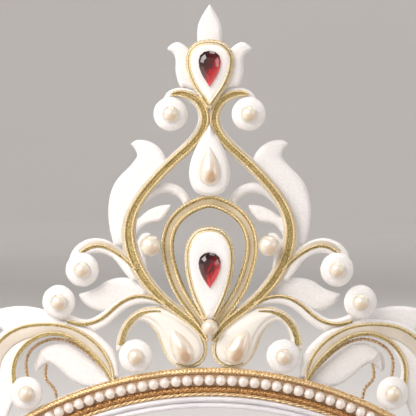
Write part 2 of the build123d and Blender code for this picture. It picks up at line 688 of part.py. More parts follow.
for name, side in SIDES.items():

    # Felt scrolls of the main layer.
    with BuildPart() as comma_scroll:
        with BuildSketch(arch_plane):
            strokes(COMMA, side)
            on_band()
        through_layer(0, felt_thickness)
    finish(comma_scroll, f"comma_scroll_{name}")

    with BuildSketch() as felt_beside_stem:
        ribbon(LOOP, loop_width + 2 * glue_gap, side)
        with_gap(COMMA, side)
        with_gap(VOLUTE, side)

    with BuildPart() as stem:
        with BuildSketch(arch_plane):
            ribbon(STEM, stem_width, side)
            ribbon(BRANCH_1, stem_width, side)
            ribbon(BRANCH_2, stem_width, side)
            ribbon(HOOK, stem_width, side)
            strokes(SMALL_LEAF, side)
            add(felt_beside_stem.sketch, mode=Mode.SUBTRACT)
            with Locations((side * (glue_gap - tall) / 2, 0)):
                Rectangle(tall, 2 * tall, mode=Mode.SUBTRACT)
        through_layer(0, felt_thickness)
    finish(stem, f"stem_{name}")

    with BuildPart() as volute:
        with BuildSketch(arch_plane):
            strokes(VOLUTE, side)
            on_band()
        through_layer(0, felt_thickness)
    finish(volute, f"volute_{name}")

    # Felt leaves of the back layer.
    for label, outline in (
        ("acanthus_leaf", ACANTHUS),
        ("arch_leaf", ARCH_LEAF),
        ("lower_leaf", LOWER_LEAF),
        ("fan_leaf", FAN_LEAF),
        ("outer_leaf", OUTER_LEAF),
    ):
        with BuildPart() as leaf:
            with BuildSketch(arch_plane):
                strokes(outline, side)
            through_layer(leaf_layer, leaf_thickness)
        finish(leaf, f"{label}_{name}")

    # Gold cords in front of the felt. They stop short of the pads, buttons and loop.
    with BuildSketch() as trim_beside_cord:
        with Locations(*[(side * x, z) for x, z in disc_places.values()]):
            Circle(disc_diameter / 2 + glue_gap)
        with Locations(at(CREST_PAD_FOOT)):
            add(crest_room.sketch)
        with Locations(at(PENDANT_PAD_TOP)):
            add(pendant_room.sketch, rotation=180)
        ribbon(LOOP, loop_width + 2 * glue_gap, side)

    with BuildPart() as stem_cord:
        with BuildSketch(arch_plane):
            ribbon(STEM_GOLD, stem_cord_width, side)
            ribbon(BRANCH_1_GOLD, branch_cord_width, side)
            ribbon(BRANCH_2_GOLD, branch_cord_width, side)
            add(trim_beside_cord.sketch, mode=Mode.SUBTRACT)
        through_layer(cord_layer, cord_height)
    finish(stem_cord, f"stem_cord_{name}")

    with BuildPart() as volute_cord:
        with BuildSketch(arch_plane):
            ribbon(VOLUTE_LINE_A, volute_cord_width, side)
            ribbon(VOLUTE_LINE_B, volute_cord_width, side)
            ribbon(VOLUTE_WIRE, volute_cord_width, side)
            add(trim_beside_cord.sketch, mode=Mode.SUBTRACT)
            on_band()
        through_layer(cord_layer, cord_height)
    finish(volute_cord, f"volute_cord_{name}")

    # Domed buttons, each with a round pearl.
    for label, (x, z) in disc_places.items():
        seat = front_plane(side * x, z, trim_layer)
        upright = Plane(origin=seat.origin, x_dir=seat.x_dir, z_dir=seat.x_dir.cross(seat.z_dir))
        with BuildPart() as disc:
            with BuildSketch(upright):
                with BuildLine():
                    Line((0, 0), (disc_diameter / 2, 0))
                    Line((disc_diameter / 2, 0), (disc_diameter / 2, disc_rim))
                    EllipticalCenterArc(
                        (disc_flat / 2, disc_rim),
                        disc_diameter / 2 - disc_flat / 2,
                        disc_height - disc_rim,
                        start_angle=0,
                        arc_size=90,
                    )
                    Line((disc_flat / 2, disc_height), (0, disc_height))
                    Line((0, disc_height), (0, 0))
                make_face()
            revolve(axis=Axis(seat.origin, seat.z_dir))
        finish(disc, f"{label}_disc_{name}")

        with BuildPart() as disc_pearl:
            ball(front_plane(side * x, z, trim_layer + disc_height + glue_gap), disc_pearl_diameter)
        finish(disc_pearl, f"{label}_pearl_{name}")

    # Loop pearl on its hook, and the drop pearl in the comma scroll.
    hook_x, hook_z = at(LOOP_PEARL, side)
    with BuildPart() as loop_pearl:
        ball(front_plane(hook_x, hook_z, cord_layer + cord_height + glue_gap), loop_pearl_diameter)
    finish(loop_pearl, f"loop_pearl_{name}")

    drop_x, drop_z = at(COMMA_PEARL_TOP, side)
    with BuildPart() as comma_pearl:
        drop_pearl(
            turned(front_plane(drop_x, drop_z, trim_layer), 180 + side * -comma_pearl_lean),
            comma_pearl_length,
            comma_pearl_width,
        )
    finish(comma_pearl, f"comma_pearl_{name}")
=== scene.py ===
import math

import bmesh
import bpy
import numpy as np
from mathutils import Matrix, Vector, kdtree
from mathutils.bvhtree import BVHTree


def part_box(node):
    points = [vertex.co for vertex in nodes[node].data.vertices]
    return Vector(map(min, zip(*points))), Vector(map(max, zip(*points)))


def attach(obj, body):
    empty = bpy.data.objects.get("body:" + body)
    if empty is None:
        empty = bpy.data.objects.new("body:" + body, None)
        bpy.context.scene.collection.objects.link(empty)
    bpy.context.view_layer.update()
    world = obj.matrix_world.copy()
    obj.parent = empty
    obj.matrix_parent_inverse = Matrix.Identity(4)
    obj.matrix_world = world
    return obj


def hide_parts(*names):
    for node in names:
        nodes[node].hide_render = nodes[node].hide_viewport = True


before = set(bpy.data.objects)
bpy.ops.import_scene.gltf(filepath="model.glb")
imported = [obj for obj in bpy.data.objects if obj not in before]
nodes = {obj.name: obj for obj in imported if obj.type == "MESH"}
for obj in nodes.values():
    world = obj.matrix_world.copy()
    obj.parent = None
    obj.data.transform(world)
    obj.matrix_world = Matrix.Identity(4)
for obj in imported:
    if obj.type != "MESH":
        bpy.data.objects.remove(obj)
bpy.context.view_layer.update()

# The pattern that the front is cut from, in millimetres: squares counted from the middle of the
# crown and upwards from the middle pearl of the pearl row. Lifts are counted forwards from the
# back of the main felt layer, which bends round one upright axis. A third value in a row is the
# share of the line's width there, which is whole where none is given.
MM = 0.001
SQUARE = 3.75
FRONT_RADIUS = 220.0
FELT = 3.2
TRIM = 3.4
CORD_HEIGHT = 1.3
PAD = 3.4
GAP = 0.2
ARCH_RADIUS = 135.4
AXIS_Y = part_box("loop")[0].y / MM + FRONT_RADIUS + FELT
PATTERN_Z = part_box("crest_leaf")[1].z / MM - 37.6 * SQUARE
ARCH_Z = PATTERN_Z - ARCH_RADIUS
SIDES = {"left": -1, "right": 1}

STEM_GOLD = [
    (3.85, 28.55, 0.3), (3.1, 28.65, 0.7), (2.1, 28.45, 0.9), (1.2, 27.9), (0.65, 27.0),
    (0.5, 26.0), (1.3, 24.2), (3.2, 22.35), (5.85, 19.65), (7.5, 17.3, 1.05),
    (8.12, 15.2, 1.2), (7.95, 13.2, 1.3), (7.1, 11.0, 1.25), (5.9, 9.25, 1.15), (4.2, 7.6),
    (2.3, 6.15, 0.9), (1.05, 5.0, 0.8), (0.3, 3.9, 0.4),
]
BRANCH_1_GOLD = [
    (7.3, 11.0), (8.4, 12.1), (9.7, 13.0), (11.05, 13.45), (12.1, 13.25),
    (13.0, 12.65, 0.8),
]
BRANCH_2_GOLD = [
    (4.4, 7.6), (6.0, 8.3), (7.2, 8.4), (8.4, 8.05), (9.6, 7.2),
    (10.8, 6.2), (12.1, 5.65), (13.3, 5.6), (14.3, 5.85, 0.8),
]
LOOP = [
    (0.0, 17.85), (1.1, 17.6), (2.5, 16.85), (3.55, 15.75), (4.1, 14.4),
    (4.2, 13.0), (3.85, 11.2), (3.25, 9.5), (2.3, 7.8, 0.9), (1.2, 6.3, 0.8),
    (0.25, 4.9, 0.7),
]
VOLUTE_LINE_A = [
    (9.6, -0.2), (9.85, 1.3), (10.7, 2.95), (12.0, 4.2), (13.8, 5.15),
    (15.5, 5.5), (17.4, 5.5), (19.0, 5.2), (20.7, 4.25), (21.9, 2.8),
    (22.45, 0.7), (22.5, -2.5), (22.1, -5.6),
]
VOLUTE_LINE_B = [
    (9.6, -0.2), (10.45, 1.2), (11.6, 2.55), (12.9, 3.65), (14.25, 4.4),
    (15.6, 4.67), (17.0, 4.45), (18.3, 3.75), (19.25, 2.75), (19.8, 1.6),
    (19.95, 0.4), (19.8, -0.9),
]
VOLUTE_WIRE = [
    (9.6, -0.2), (10.5, 0.85), (11.6, 1.95), (12.9, 3.05), (14.25, 3.75),
    (15.6, 3.95), (16.8, 3.65), (17.85, 2.95), (18.45, 1.9), (18.5, 1.0),
    (18.35, 0.1),
]
LEAF_WIRE = [(16.4, 1.4), (16.4, -0.2), (15.75, -0.9), (15.4, -2.0)]
COMMA_EDGE = [
    (9.1, 3.5), (8.9, 4.6), (8.4, 5.6), (7.6, 6.5), (6.3, 7.05),
    (4.8, 7.1), (3.3, 6.75), (1.9, 5.85), (0.98, 4.75), (0.5, 3.75),
    (0.4, 2.85), (0.65, 2.1), (1.35, 1.5), (2.35, 1.27), (3.4, 1.5),
    (4.1, 2.15), (4.6, 3.1), (5.0, 4.15), (5.4, 5.0), (6.0, 5.55),
]
COMMA_TAIL = [
    (8.72, 3.4), (8.5, 4.5), (8.0, 5.5), (7.2, 6.3, 0.9), (6.1, 6.75, 0.6),
    (4.9, 6.85, 0.3),
]
DROP = [(0.0, 0.0), (0.33, 0.157), (0.6, 0.286), (0.88, 0.48), (1.0, 0.67), (0.84, 0.88),
        (0.48, 0.972), (0.0, 1.0)]
DISCS = {
    "top": (3.88, 26.6), "side": (12.7, 11.0), "low": (15.05, 7.75), "inner": (7.35, 2.35),
}
DISC_DIAMETER = 12.8
DISC_HEIGHT = 4.4
CREST_PAD = (0.0, 27.1, 25.6, 17.2)
HEART_PAD = (0.0, 5.0, 38.5, 17.8)
PENDANT_PAD = (0.0, 25.6, 27.0, 15.4)

# The head band: its plan, a ring of arcs, and the arch of its lower edge seen from the front.
FRONT_HALF_WIDTH = 84.0
CORNER_RADIUS = 24.0
SIDE_LENGTH = 20.0
BAND_BOTTOM_RADIUS = 124.9
BAND_HEIGHT = 15.2
BAND_BLEND = 34.0
ROLL = 1.9
ROLL_GROOVE = 0.5
ROLL_DEPTH = 1.8


# Round pearls, and the beads of the pearl row, whose room runs from the middle of the row to a braid.
DISC_PEARL_DIAMETER = 6.2
DISC_PEARL_SINK = 0.9
LOOP_PEARL_DIAMETER = 7.8
BASE_PEARL_DIAMETER = 6.2
BASE_PEARL_UP = 5.3
BEAD_DIAMETER = 4.0
BEAD_GAP = 0.22
BEAD_ROOM = 2.2
ROW_END = 37.0


# Small geometry helpers. Points are millimetres, and meshes are written in metres.

def on_layer(x, z, lift):
    """Point of the curved layer at this lift, straight in front of a pattern point."""
    radius = FRONT_RADIUS + lift
    return np.array([x, AXIS_Y - math.sqrt(radius * radius - x * x), z])


def outward(point):
    """Direction straight away from the axis of the curved layers."""
    away = np.array([point[0], point[1] - AXIS_Y, 0.0])
    return away / np.linalg.norm(away)


def unit_rows(rows):
    """The rows of an array, each made one long."""
    return rows / np.linalg.norm(rows, axis=1)[:, None]


def distances(points):
    """Distance along a line of points to each of them."""
    return np.concatenate([[0], np.cumsum(np.linalg.norm(np.diff(points, axis=0), axis=1))])


def cord_frame(line, ahead, ups):
    """Directions across a cord and over it, at each point."""
    if ups is None:
        ups = np.array([outward(point) for point in line])
    across = unit_rows(np.cross(ahead, ups))
    return across, np.cross(across, ahead)


def smooth_line(points, step):
    """Evenly spaced points on a smooth curve through the given ones."""
    points = np.array(points, float)
    run = distances(points[:, :2])
    count = len(points)
    gaps = np.diff(run)
    matrix = np.zeros((count, count))
    right = np.zeros_like(points)
    matrix[0, 0] = matrix[-1, -1] = 1
    for i in range(1, count - 1):
        matrix[i, i - 1] = gaps[i - 1]
        matrix[i, i] = 2 * (gaps[i - 1] + gaps[i])
        matrix[i, i + 1] = gaps[i]
        right[i] = 6 * ((points[i + 1] - points[i]) / gaps[i] - (points[i] - points[i - 1]) / gaps[i - 1])
    slopes = np.linalg.solve(matrix, right)
    places = np.linspace(0, run[-1], max(int(run[-1] / step), 2) + 1)
    index = np.clip(np.searchsorted(run, places, side="right") - 1, 0, count - 2)
    gap = gaps[index][:, None]
    after = (places - run[index])[:, None]
    before = (run[index + 1] - places)[:, None]
    return (
        slopes[index] * before ** 3 / (6 * gap)
        + slopes[index + 1] * after ** 3 / (6 * gap)
        + (points[index] / gap - slopes[index] * gap / 6) * before
        + (points[index + 1] / gap - slopes[index + 1] * gap / 6) * after
    )


def pattern_line(rows, side, step=0.35, shift=0.0):
    """Points (x, z, share) along a pattern path; shift moves it sideways, away from the middle."""
    shares = [row[2] if len(row) > 2 else 1.0 for row in rows]
    places = [(side * row[0] * SQUARE, PATTERN_Z + row[1] * SQUARE) for row in rows]
    line = smooth_line([(*place, share) for place, share in zip(places, shares)], step)
    ahead = unit_rows(np.gradient(line[:, :2], axis=0))
    sideways = np.stack([-ahead[:, 1], ahead[:, 0]], axis=1) * side
    line[:, :2] += sideways * shift * line[:, 2:3]
    return line


def grid_faces(rows, wide, start=0, ring=True):
    """Faces between rows of points, where each row is closed into a ring or left open."""
    faces = []
    for i in range(rows - 1):
        for j in range(wide if ring else wide - 1):
            a = start + i * wide + j
            b = start + i * wide + (j + 1) % wide
            faces.append((a, b, b + wide, a + wide))
    return faces


def new_object(name, data):
    obj = bpy.data.objects.new(name, data)
    bpy.context.scene.collection.objects.link(obj)
    return obj


class Shape:
    """Vertices and faces gathered for one piece."""

    def __init__(self):
        self.points = []
        self.faces = []

    def add(self, points, faces):
        start = len(self.points)
        self.points.extend(points)
        self.faces.extend([tuple(i + start for i in face) for face in faces])

    def tube(self, line, radii, sides=8, ups=None):
        """Round tube along a line of points."""
        line = np.array(line)
        count = len(line)
        across, over = cord_frame(line, unit_rows(np.gradient(line, axis=0)), ups)
        radii = np.broadcast_to(radii, (count,))
        points = []
        for turn in range(sides):
            angle = 2 * math.pi * turn / sides
            points.append(line + (across * math.cos(angle) + over * math.sin(angle)) * radii[:, None])
        points = np.stack(points, axis=1).reshape(-1, 3)
        faces = grid_faces(count, sides)
        faces.append(tuple(reversed(range(sides))))
        faces.append(tuple((count - 1) * sides + j for j in range(sides)))
        self.add(points.tolist(), faces)

    def twist(self, line, radius, pitch, strands=2, sides=6):
        """Twisted cord along a line of points."""
        line = np.array(line)
        run = distances(line)
        ahead = unit_rows(np.gradient(line, axis=0))
        across, over = cord_frame(line, ahead, None)
        radius = np.broadcast_to(radius, (len(line),))[:, None]
        for strand in range(strands):
            turn = (2 * math.pi * (run / pitch + strand / strands))[:, None]
            way = across * np.cos(turn) + over * np.sin(turn)
            self.tube(line + way * radius * 0.5, radius[:, 0] * 0.56, sides=sides, ups=way + ahead * 0.01)

    def ribbon(self, line, halves, lift, thick, bulge=0.0, across_steps=6, ribs=0.0, rib_pitch=1.0):
        """Flat strip on the layer with its own thickness, crowned in the middle."""
        ahead = unit_rows(np.gradient(line[:, :2], axis=0))
        sideways = np.stack([-ahead[:, 1], ahead[:, 0]], axis=1)
        run = distances(line[:, :2])
        points = []
        wide = across_steps + 1
        for i, (x, z) in enumerate(line[:, :2]):
            for place, j in enumerate([*range(wide), across_steps, 0]):
                share = 2 * j / across_steps - 1
                rib = math.sin(2 * math.pi * (run[i] / rib_pitch + 0.35 * share))
                rise = bulge * (1 - share * share) + ribs * rib * (1 - abs(share) ** 3)
                px = x + sideways[i][0] * share * halves[i]
                pz = z + sideways[i][1] * share * halves[i]
                points.append(on_layer(px, pz, lift + thick + rise if place < wide else lift))
        ring = wide + 2
        faces = grid_faces(len(line), ring)
        faces.append(tuple(reversed(range(ring))))
        faces.append(tuple((len(line) - 1) * ring + j for j in range(ring)))
        self.add([p.tolist() for p in points], faces)

    def lathe(self, profile, base, axis, side_dir, turns=32, squash=None):
        """Closed turned form: profile is (radius, height) from pole to pole."""
        axis = np.array(axis)
        side_dir = np.array(side_dir)
        third = np.cross(axis, side_dir)
        base = np.array(base)
        points = [(base + axis * profile[0][1]).tolist()]
        for radius, height in profile[1:-1]:
            for turn in range(turns):
                angle = 2 * math.pi * turn / turns
                out = side_dir * math.cos(angle) + third * math.sin(angle)
                points.append((base + axis * height + out * radius).tolist())
        points.append((base + axis * profile[-1][1]).tolist())
        rows = len(profile) - 2
        faces = []
        for j in range(turns):
            faces.append((0, 1 + (j + 1) % turns, 1 + j))
            last = 1 + (rows - 1) * turns
            faces.append((last + j, last + (j + 1) % turns, len(points) - 1))
        faces += grid_faces(rows, turns, start=1)
        if squash is not None:
            points = [squash(np.array(point)).tolist() for point in points]
        self.add(points, faces)

    def build(self, name, material, smooth=True):
        mesh = bpy.data.meshes.new(name)
        mesh.from_pydata([[v * MM for v in p] for p in self.points], [], self.faces)
        mesh.validate()
        obj = new_object(name, mesh)
        mesh.materials.append(material)
        if smooth:
            mesh.polygons.foreach_set("use_smooth", [True] * len(mesh.polygons))
        turn_out(obj)
        return obj


def turn_out(obj):
    """Make all faces look outwards."""
    work = bmesh.new()
    work.from_mesh(obj.data)
    bmesh.ops.recalc_face_normals(work, faces=work.faces)
    work.to_mesh(obj.data)
    work.free()


def put(obj, slot, *replaced):
    """Fix a finished piece to the crown."""
    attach(obj, "root")
    if replaced:
        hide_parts(*replaced)
    return obj


# Materials.

def material(name):
    mat = bpy.data.materials.new(name)
    mat.use_nodes = True
    tree = mat.node_tree
    shader = tree.nodes["Principled BSDF"]
    return mat, tree, shader


def set_inputs(node, **values):
    """Constants on a node's sockets, each named as its label is, with low lines for spaces."""
    for key, value in values.items():
        node.inputs[key.replace("_", " ")].default_value = value


def sum_node(tree, operation, number, source, addend=None):
    """Node that takes a source with a number and, for MULTIPLY_ADD, an addend."""
    node = tree.nodes.new("ShaderNodeMath")
    node.operation = operation
    node.inputs[1].default_value = number
    tree.links.new(source, node.inputs[0])
    if addend is not None:
        tree.links.new(addend, node.inputs[2])
    return node


def dot_node(tree, source, way):
    """Node that tells how far a vector runs along a direction."""
    node = tree.nodes.new("ShaderNodeVectorMath")
    node.operation = "DOT_PRODUCT"
    node.inputs[1].default_value = way
    tree.links.new(source, node.inputs[0])
    return node


def noise_node(tree, scale, detail=4.0, roughness=0.55, stretch=(1, 1, 1)):
    place = tree.nodes.new("ShaderNodeTexCoord")
    mapping = tree.nodes.new("ShaderNodeMapping")
    mapping.inputs["Scale"].default_value = stretch
    tree.links.new(place.outputs["Object"], mapping.inputs["Vector"])
    node = tree.nodes.new("ShaderNodeTexNoise")
    set_inputs(node, Scale=scale, Detail=detail, Roughness=roughness)
    tree.links.new(mapping.outputs["Vector"], node.inputs["Vector"])
    return node


def ramp_node(tree, source, stops):
    node = tree.nodes.new("ShaderNodeValToRGB")
    while len(node.color_ramp.elements) > len(stops):
        node.color_ramp.elements.remove(node.color_ramp.elements[-1])
    while len(node.color_ramp.elements) < len(stops):
        node.color_ramp.elements.new(0.5)
    for element, (place, colour) in zip(node.color_ramp.elements, stops):
        element.position = place
        element.color = (*colour, 1.0)
    tree.links.new(source, node.inputs["Fac"])
    return node


def colour_by(tree, shader, source, stops, socket="Base Color"):
    """Steps of colour, or of grey for another socket, that follow a value."""
    ramp = ramp_node(tree, source, stops)
    tree.links.new(ramp.outputs["Color"], shader.inputs[socket])


def bump_node(tree, shader, source, strength, distance, after=None):
    node = tree.nodes.new("ShaderNodeBump")
    set_inputs(node, Strength=strength, Distance=distance)
    tree.links.new(source, node.inputs["Height"])
    if after is not None:
        tree.links.new(after.outputs["Normal"], node.inputs["Normal"])
    tree.links.new(node.outputs["Normal"], shader.inputs["Normal"])
    return node


def felt_material(name, light, dark, sheen=0.35, grain=900.0):
    """Pressed felt: matted fibres, with a soft edge."""
    mat, tree, shader = material(name)
    fibres = noise_node(tree, grain, 6.0, 0.75, (1.0, 1.0, 1.8))
    colour_by(tree, shader, fibres.outputs["Fac"], [(0.36, dark), (0.6, light)])
    set_inputs(shader, Roughness=0.92, Sheen_Weight=sheen, Sheen_Roughness=0.5, Specular_IOR_Level=0.2)
    lumps = noise_node(tree, 260.0, 3.0)
    first = bump_node(tree, shader, lumps.outputs["Fac"], 0.45, 0.0005)
    bump_node(tree, shader, fibres.outputs["Fac"], 0.6, 0.0004, first)
    return mat


def cloth_material(name, light, dark, roughness, sheen, weave=2600.0, depth=0.0001):
    """Fine woven cloth or satin."""
    mat, tree, shader = material(name)
    patches = noise_node(tree, 60.0, 4.0)
    colour_by(tree, shader, patches.outputs["Fac"], [(0.3, dark), (0.7, light)])
    set_inputs(shader, Roughness=roughness, Specular_IOR_Level=0.4)
    set_inputs(shader, Sheen_Weight=sheen, Sheen_Roughness=0.3)
    place = tree.nodes.new("ShaderNodeTexCoord")
    waves = []
    for direction in ("X", "Z"):
        wave = tree.nodes.new("ShaderNodeTexWave")
        wave.bands_direction = direction
        set_inputs(wave, Scale=weave / 6, Distortion=1.5, Detail=2.0)
        tree.links.new(place.outputs["Object"], wave.inputs["Vector"])
        waves.append(wave)
    both = tree.nodes.new("ShaderNodeMath")
    both.operation = "MAXIMUM"
    tree.links.new(waves[0].outputs["Fac"], both.inputs[0])
    tree.links.new(waves[1].outputs["Fac"], both.inputs[1])
    bump_node(tree, shader, both.outputs["Value"], 0.3, depth)
    return mat


def gold_material(name, light, dark, roughness=0.38, metallic=0.9, grain=1500.0):
    """Metallic thread: bright wraps with dark gaps."""
    mat, tree, shader = material(name)
    patches = noise_node(tree, grain, 3.0, 0.7)
    colour_by(tree, shader, patches.outputs["Fac"], [(0.34, dark), (0.58, light)])
    shader.inputs["Metallic"].default_value = metallic
    steps = [(0.3, (roughness + 0.2,) * 3), (0.7, (roughness - 0.08,) * 3)]
    colour_by(tree, shader, patches.outputs["Fac"], steps, "Roughness")
    wraps = noise_node(tree, grain * 1.6, 2.0)
    bump_node(tree, shader, wraps.outputs["Fac"], 0.4, 0.00012)
    return mat


def pearl_material(name, body, painted_warm_shade, rim, way=(0.24, -0.86, -0.45), start=0.6):
    """Pearl: cream, with painted warm shade low on its front, painted shade towards its rim, and a glossy
    skin.
    """
    mat, tree, shader = material(name)
    place = tree.nodes.new("ShaderNodeTexCoord")
    # The colour follows the way each surface faces: painted shade at the rim, painted warm shade where it
    # faces along way.
    facing = dot_node(tree, place.outputs["Normal"], Vector(way).normalized())
    cloud = noise_node(tree, 300.0, 3.0)
    mixed = sum_node(tree, "MULTIPLY_ADD", 0.08, cloud.outputs["Fac"], facing.outputs["Value"])
    half_way = tuple((b + w) / 2 for b, w in zip(body, painted_warm_shade))
    steps = [(0.1, rim), (start, body), (0.35 * start + 0.65, half_way), (1.0, painted_warm_shade)]
    colour_by(tree, shader, mixed.outputs["Value"], steps)
    set_inputs(shader, Roughness=0.36, IOR=1.7, Coat_Weight=1.0, Coat_Roughness=0.18, Coat_IOR=2.3)
    ripple = noise_node(tree, 450.0, 2.0)
    bump_node(tree, shader, ripple.outputs["Fac"], 0.06, 0.0001)
    return mat


def stone_material(name):
    """Red cut stone with foil behind it: painted shade dark at its top, painted light bright at its lower
    right.
    """
    mat, tree, shader = material(name)
    place = tree.nodes.new("ShaderNodeTexCoord")
    # Painted light and shade: brightness runs from the top left down to the lower right, varied in small
    # random cells.
    painted_light_slope = dot_node(tree, place.outputs["Generated"], (0.62, 0.0, -0.62))
    cells = tree.nodes.new("ShaderNodeTexVoronoi")
    cells.inputs["Scale"].default_value = 330.0
    tree.links.new(place.outputs["Object"], cells.inputs["Vector"])
    grey = tree.nodes.new("ShaderNodeSeparateColor")
    tree.links.new(cells.outputs["Color"], grey.inputs["Color"])
    mixed = sum_node(tree, "MULTIPLY_ADD", 0.22, grey.outputs["Red"], painted_light_slope.outputs["Value"])
    lifted = sum_node(tree, "ADD", 0.46, mixed.outputs["Value"])
    colour_by(tree, shader, lifted.outputs["Value"], [
        (0.3, (0.02, 0.0, 0.001)), (0.52, (0.09, 0.0, 0.003)),
        (0.68, (0.42, 0.0, 0.008)), (0.86, (0.8, 0.008, 0.02)),
    ])
    set_inputs(shader, Roughness=0.1, Coat_Weight=1.0, Coat_Roughness=0.02, Specular_IOR_Level=0.7)
    return mat


WHITE_FELT = felt_material("white_felt", (0.88, 0.855, 0.84), (0.79, 0.765, 0.75))
WHITE_PAD = felt_material("white_pad", (0.885, 0.865, 0.85), (0.82, 0.8, 0.785), sheen=0.25, grain=1400.0)
CREAM_SATIN = cloth_material("cream_satin", (0.85, 0.81, 0.75), (0.79, 0.74, 0.67), 0.34, 0.25)
WHITE_SATIN = cloth_material("white_satin", (0.78, 0.76, 0.785), (0.66, 0.64, 0.67), 0.42, 0.35)
CHAMPAGNE = cloth_material("champagne_cloth", (0.68, 0.58, 0.42), (0.44, 0.35, 0.21), 0.5, 0.3, depth=0.0002)
CHAMPAGNE_PALE = cloth_material(
    "champagne_pale", (0.72, 0.65, 0.56), (0.58, 0.51, 0.42), 0.55, 0.3, depth=0.0002,
)
GOLD = gold_material("gold_cord", (1.0, 0.86, 0.56), (0.74, 0.56, 0.27), 0.32, 0.85)
GOLD_FIELD = gold_material("gold_field", (0.56, 0.44, 0.2), (0.2, 0.14, 0.04), 0.5, 0.6)
BRAID = gold_material("gold_braid", (0.98, 0.76, 0.46), (0.55, 0.36, 0.15), 0.35, 0.8)
BRONZE = gold_material("bronze_braid", (0.72, 0.42, 0.18), (0.26, 0.11, 0.03), 0.4, 0.75)
COPPER = gold_material("copper_wire", (0.8, 0.58, 0.36), (0.36, 0.21, 0.1), 0.34, 0.85)
BACKING = cloth_material("braid_backing", (0.72, 0.54, 0.37), (0.5, 0.34, 0.2), 0.6, 0.2, depth=0.0002)
# Each pearl is given as body colour, painted warm shade and painted rim shade.
PEARL = pearl_material("pearl", (0.83, 0.77, 0.65), (0.62, 0.47, 0.31), (0.68, 0.59, 0.46))
PEARL_DROP = pearl_material(
    "pearl_drop", (0.85, 0.77, 0.66), (0.48, 0.27, 0.11), (0.74, 0.62, 0.48), (0.16, -0.93, -0.34), 0.74,
)
BEAD = pearl_material("bead_pearl", (0.84, 0.75, 0.68), (0.76, 0.64, 0.55), (0.66, 0.52, 0.43))
RED_STONE = stone_material("red_stone")
THREAD = cloth_material("thread", (0.8, 0.77, 0.7), (0.7, 0.66, 0.58), 0.8, 0.2)


# Soft pieces are made from their solids: filled with a fine even mesh, rounded over at the edges
# and crowned in the middle.

def even_mesh(node, name, voxel):
    """The solid's surface as an even mesh of small squares, in millimetres."""
    work = bmesh.new()
    work.from_mesh(nodes[node].data)
    bmesh.ops.remove_doubles(work, verts=work.verts, dist=1e-6)
    bmesh.ops.scale(work, verts=work.verts, vec=(1 / MM,) * 3)
    mesh = bpy.data.meshes.new(name)
    work.to_mesh(mesh)
    work.free()
    obj = new_object(name, mesh)
    remesh = obj.modifiers.new("even", "REMESH")
    remesh.mode = "VOXEL"
    remesh.voxel_size = voxel * 1
    graph = bpy.context.evaluated_depsgraph_get()
    result = bpy.data.meshes.new_from_object(obj.evaluated_get(graph))
    obj.modifiers.clear()
    obj.data = result
    bpy.data.meshes.remove(mesh)
    return obj


def mesh_arrays(mesh):
    points = np.zeros(len(mesh.vertices) * 3)
    mesh.vertices.foreach_get("co", points)
    edges = np.zeros(len(mesh.edges) * 2, int)
    mesh.edges.foreach_get("vertices", edges)
    normals = np.zeros(len(mesh.vertices) * 3)
    mesh.vertices.foreach_get("normal", normals)
    return points.reshape(-1, 3), edges.reshape(-1, 2), normals.reshape(-1, 3)


def relax(points, edges, rounds):
    """Smooth an even mesh: each point moves towards its neighbours, then back out, so nothing shrinks."""
    count = np.bincount(edges.ravel(), minlength=len(points))[:, None]
    for share in (0.5, -0.52) * rounds:
        total = np.zeros_like(points)
        for axis in range(3):
            total[:, axis] = (
                np.bincount(edges[:, 0], weights=points[edges[:, 1], axis], minlength=len(points))
                + np.bincount(edges[:, 1], weights=points[edges[:, 0], axis], minlength=len(points))
            )
        points = points + share * (total / np.maximum(count, 1) - points)
    return points


def soft_piece(
    node, name, mat, back, thick,
    voxel=0.4, rim=2.0, fall=0.4, rounds=4, dome=0.0, dome_rim=4.0, fold=None, seam=None,
):
    """A felt or padded piece in the place of its solid: its front falls off towards its edge.

    A fold is a pattern line: what lies beyond it is bent back. A seam is a groove this far from the
    edge and this deep.
    """
    obj = even_mesh(node, name, voxel)
    points, edges, normals = mesh_arrays(obj.data)
    away = np.stack([points[:, 0], points[:, 1] - AXIS_Y, np.zeros(len(points))], axis=1)
    radius = np.linalg.norm(away, axis=1)
    away /= radius[:, None]
    facing = np.abs((normals * away).sum(axis=1))
    wall = points[facing < 0.55]
    tree = kdtree.KDTree(len(wall))
    for i, point in enumerate(wall):
        tree.insert((point[0], point[2], 0.0), i)
    tree.balance()
    depth = np.array([tree.find((point[0], point[2], 0.0))[2] for point in points])
    share = np.clip((radius - FRONT_RADIUS - back) / thick, 0, 1)
    edge = (1 - np.clip(depth / rim, 0, 1)) ** 2
    lift = -share * thick * fall * edge
    if dome:
        inside = np.clip(depth / dome_rim, 0, 1)
        lift += share * dome * (1 - (1 - inside) ** 2)
    if seam is not None:
        lift -= share * seam[1] * np.exp(-((depth - seam[0]) / 0.45) ** 2)
    if fold is not None:
        (x, z), (far_x, far_z) = fold
        length = math.hypot(far_x - x, far_z - z)
        beyond = ((points[:, 0] - x) * (far_z - z) - (points[:, 2] - z) * (far_x - x)) / length
        lift -= share * (0.45 * np.clip(beyond / 0.5, 0, 1) + 0.4 * np.clip(beyond, 0, 2.4))
    points = points + away * lift[:, None]
    points = relax(points, edges, rounds)
    obj.data.vertices.foreach_set("co", (points * MM).ravel())
    obj.data.polygons.foreach_set("use_smooth", [True] * len(obj.data.polygons))
    obj.data.materials.clear()
    obj.data.materials.append(mat)
    obj.data.update()
    return obj


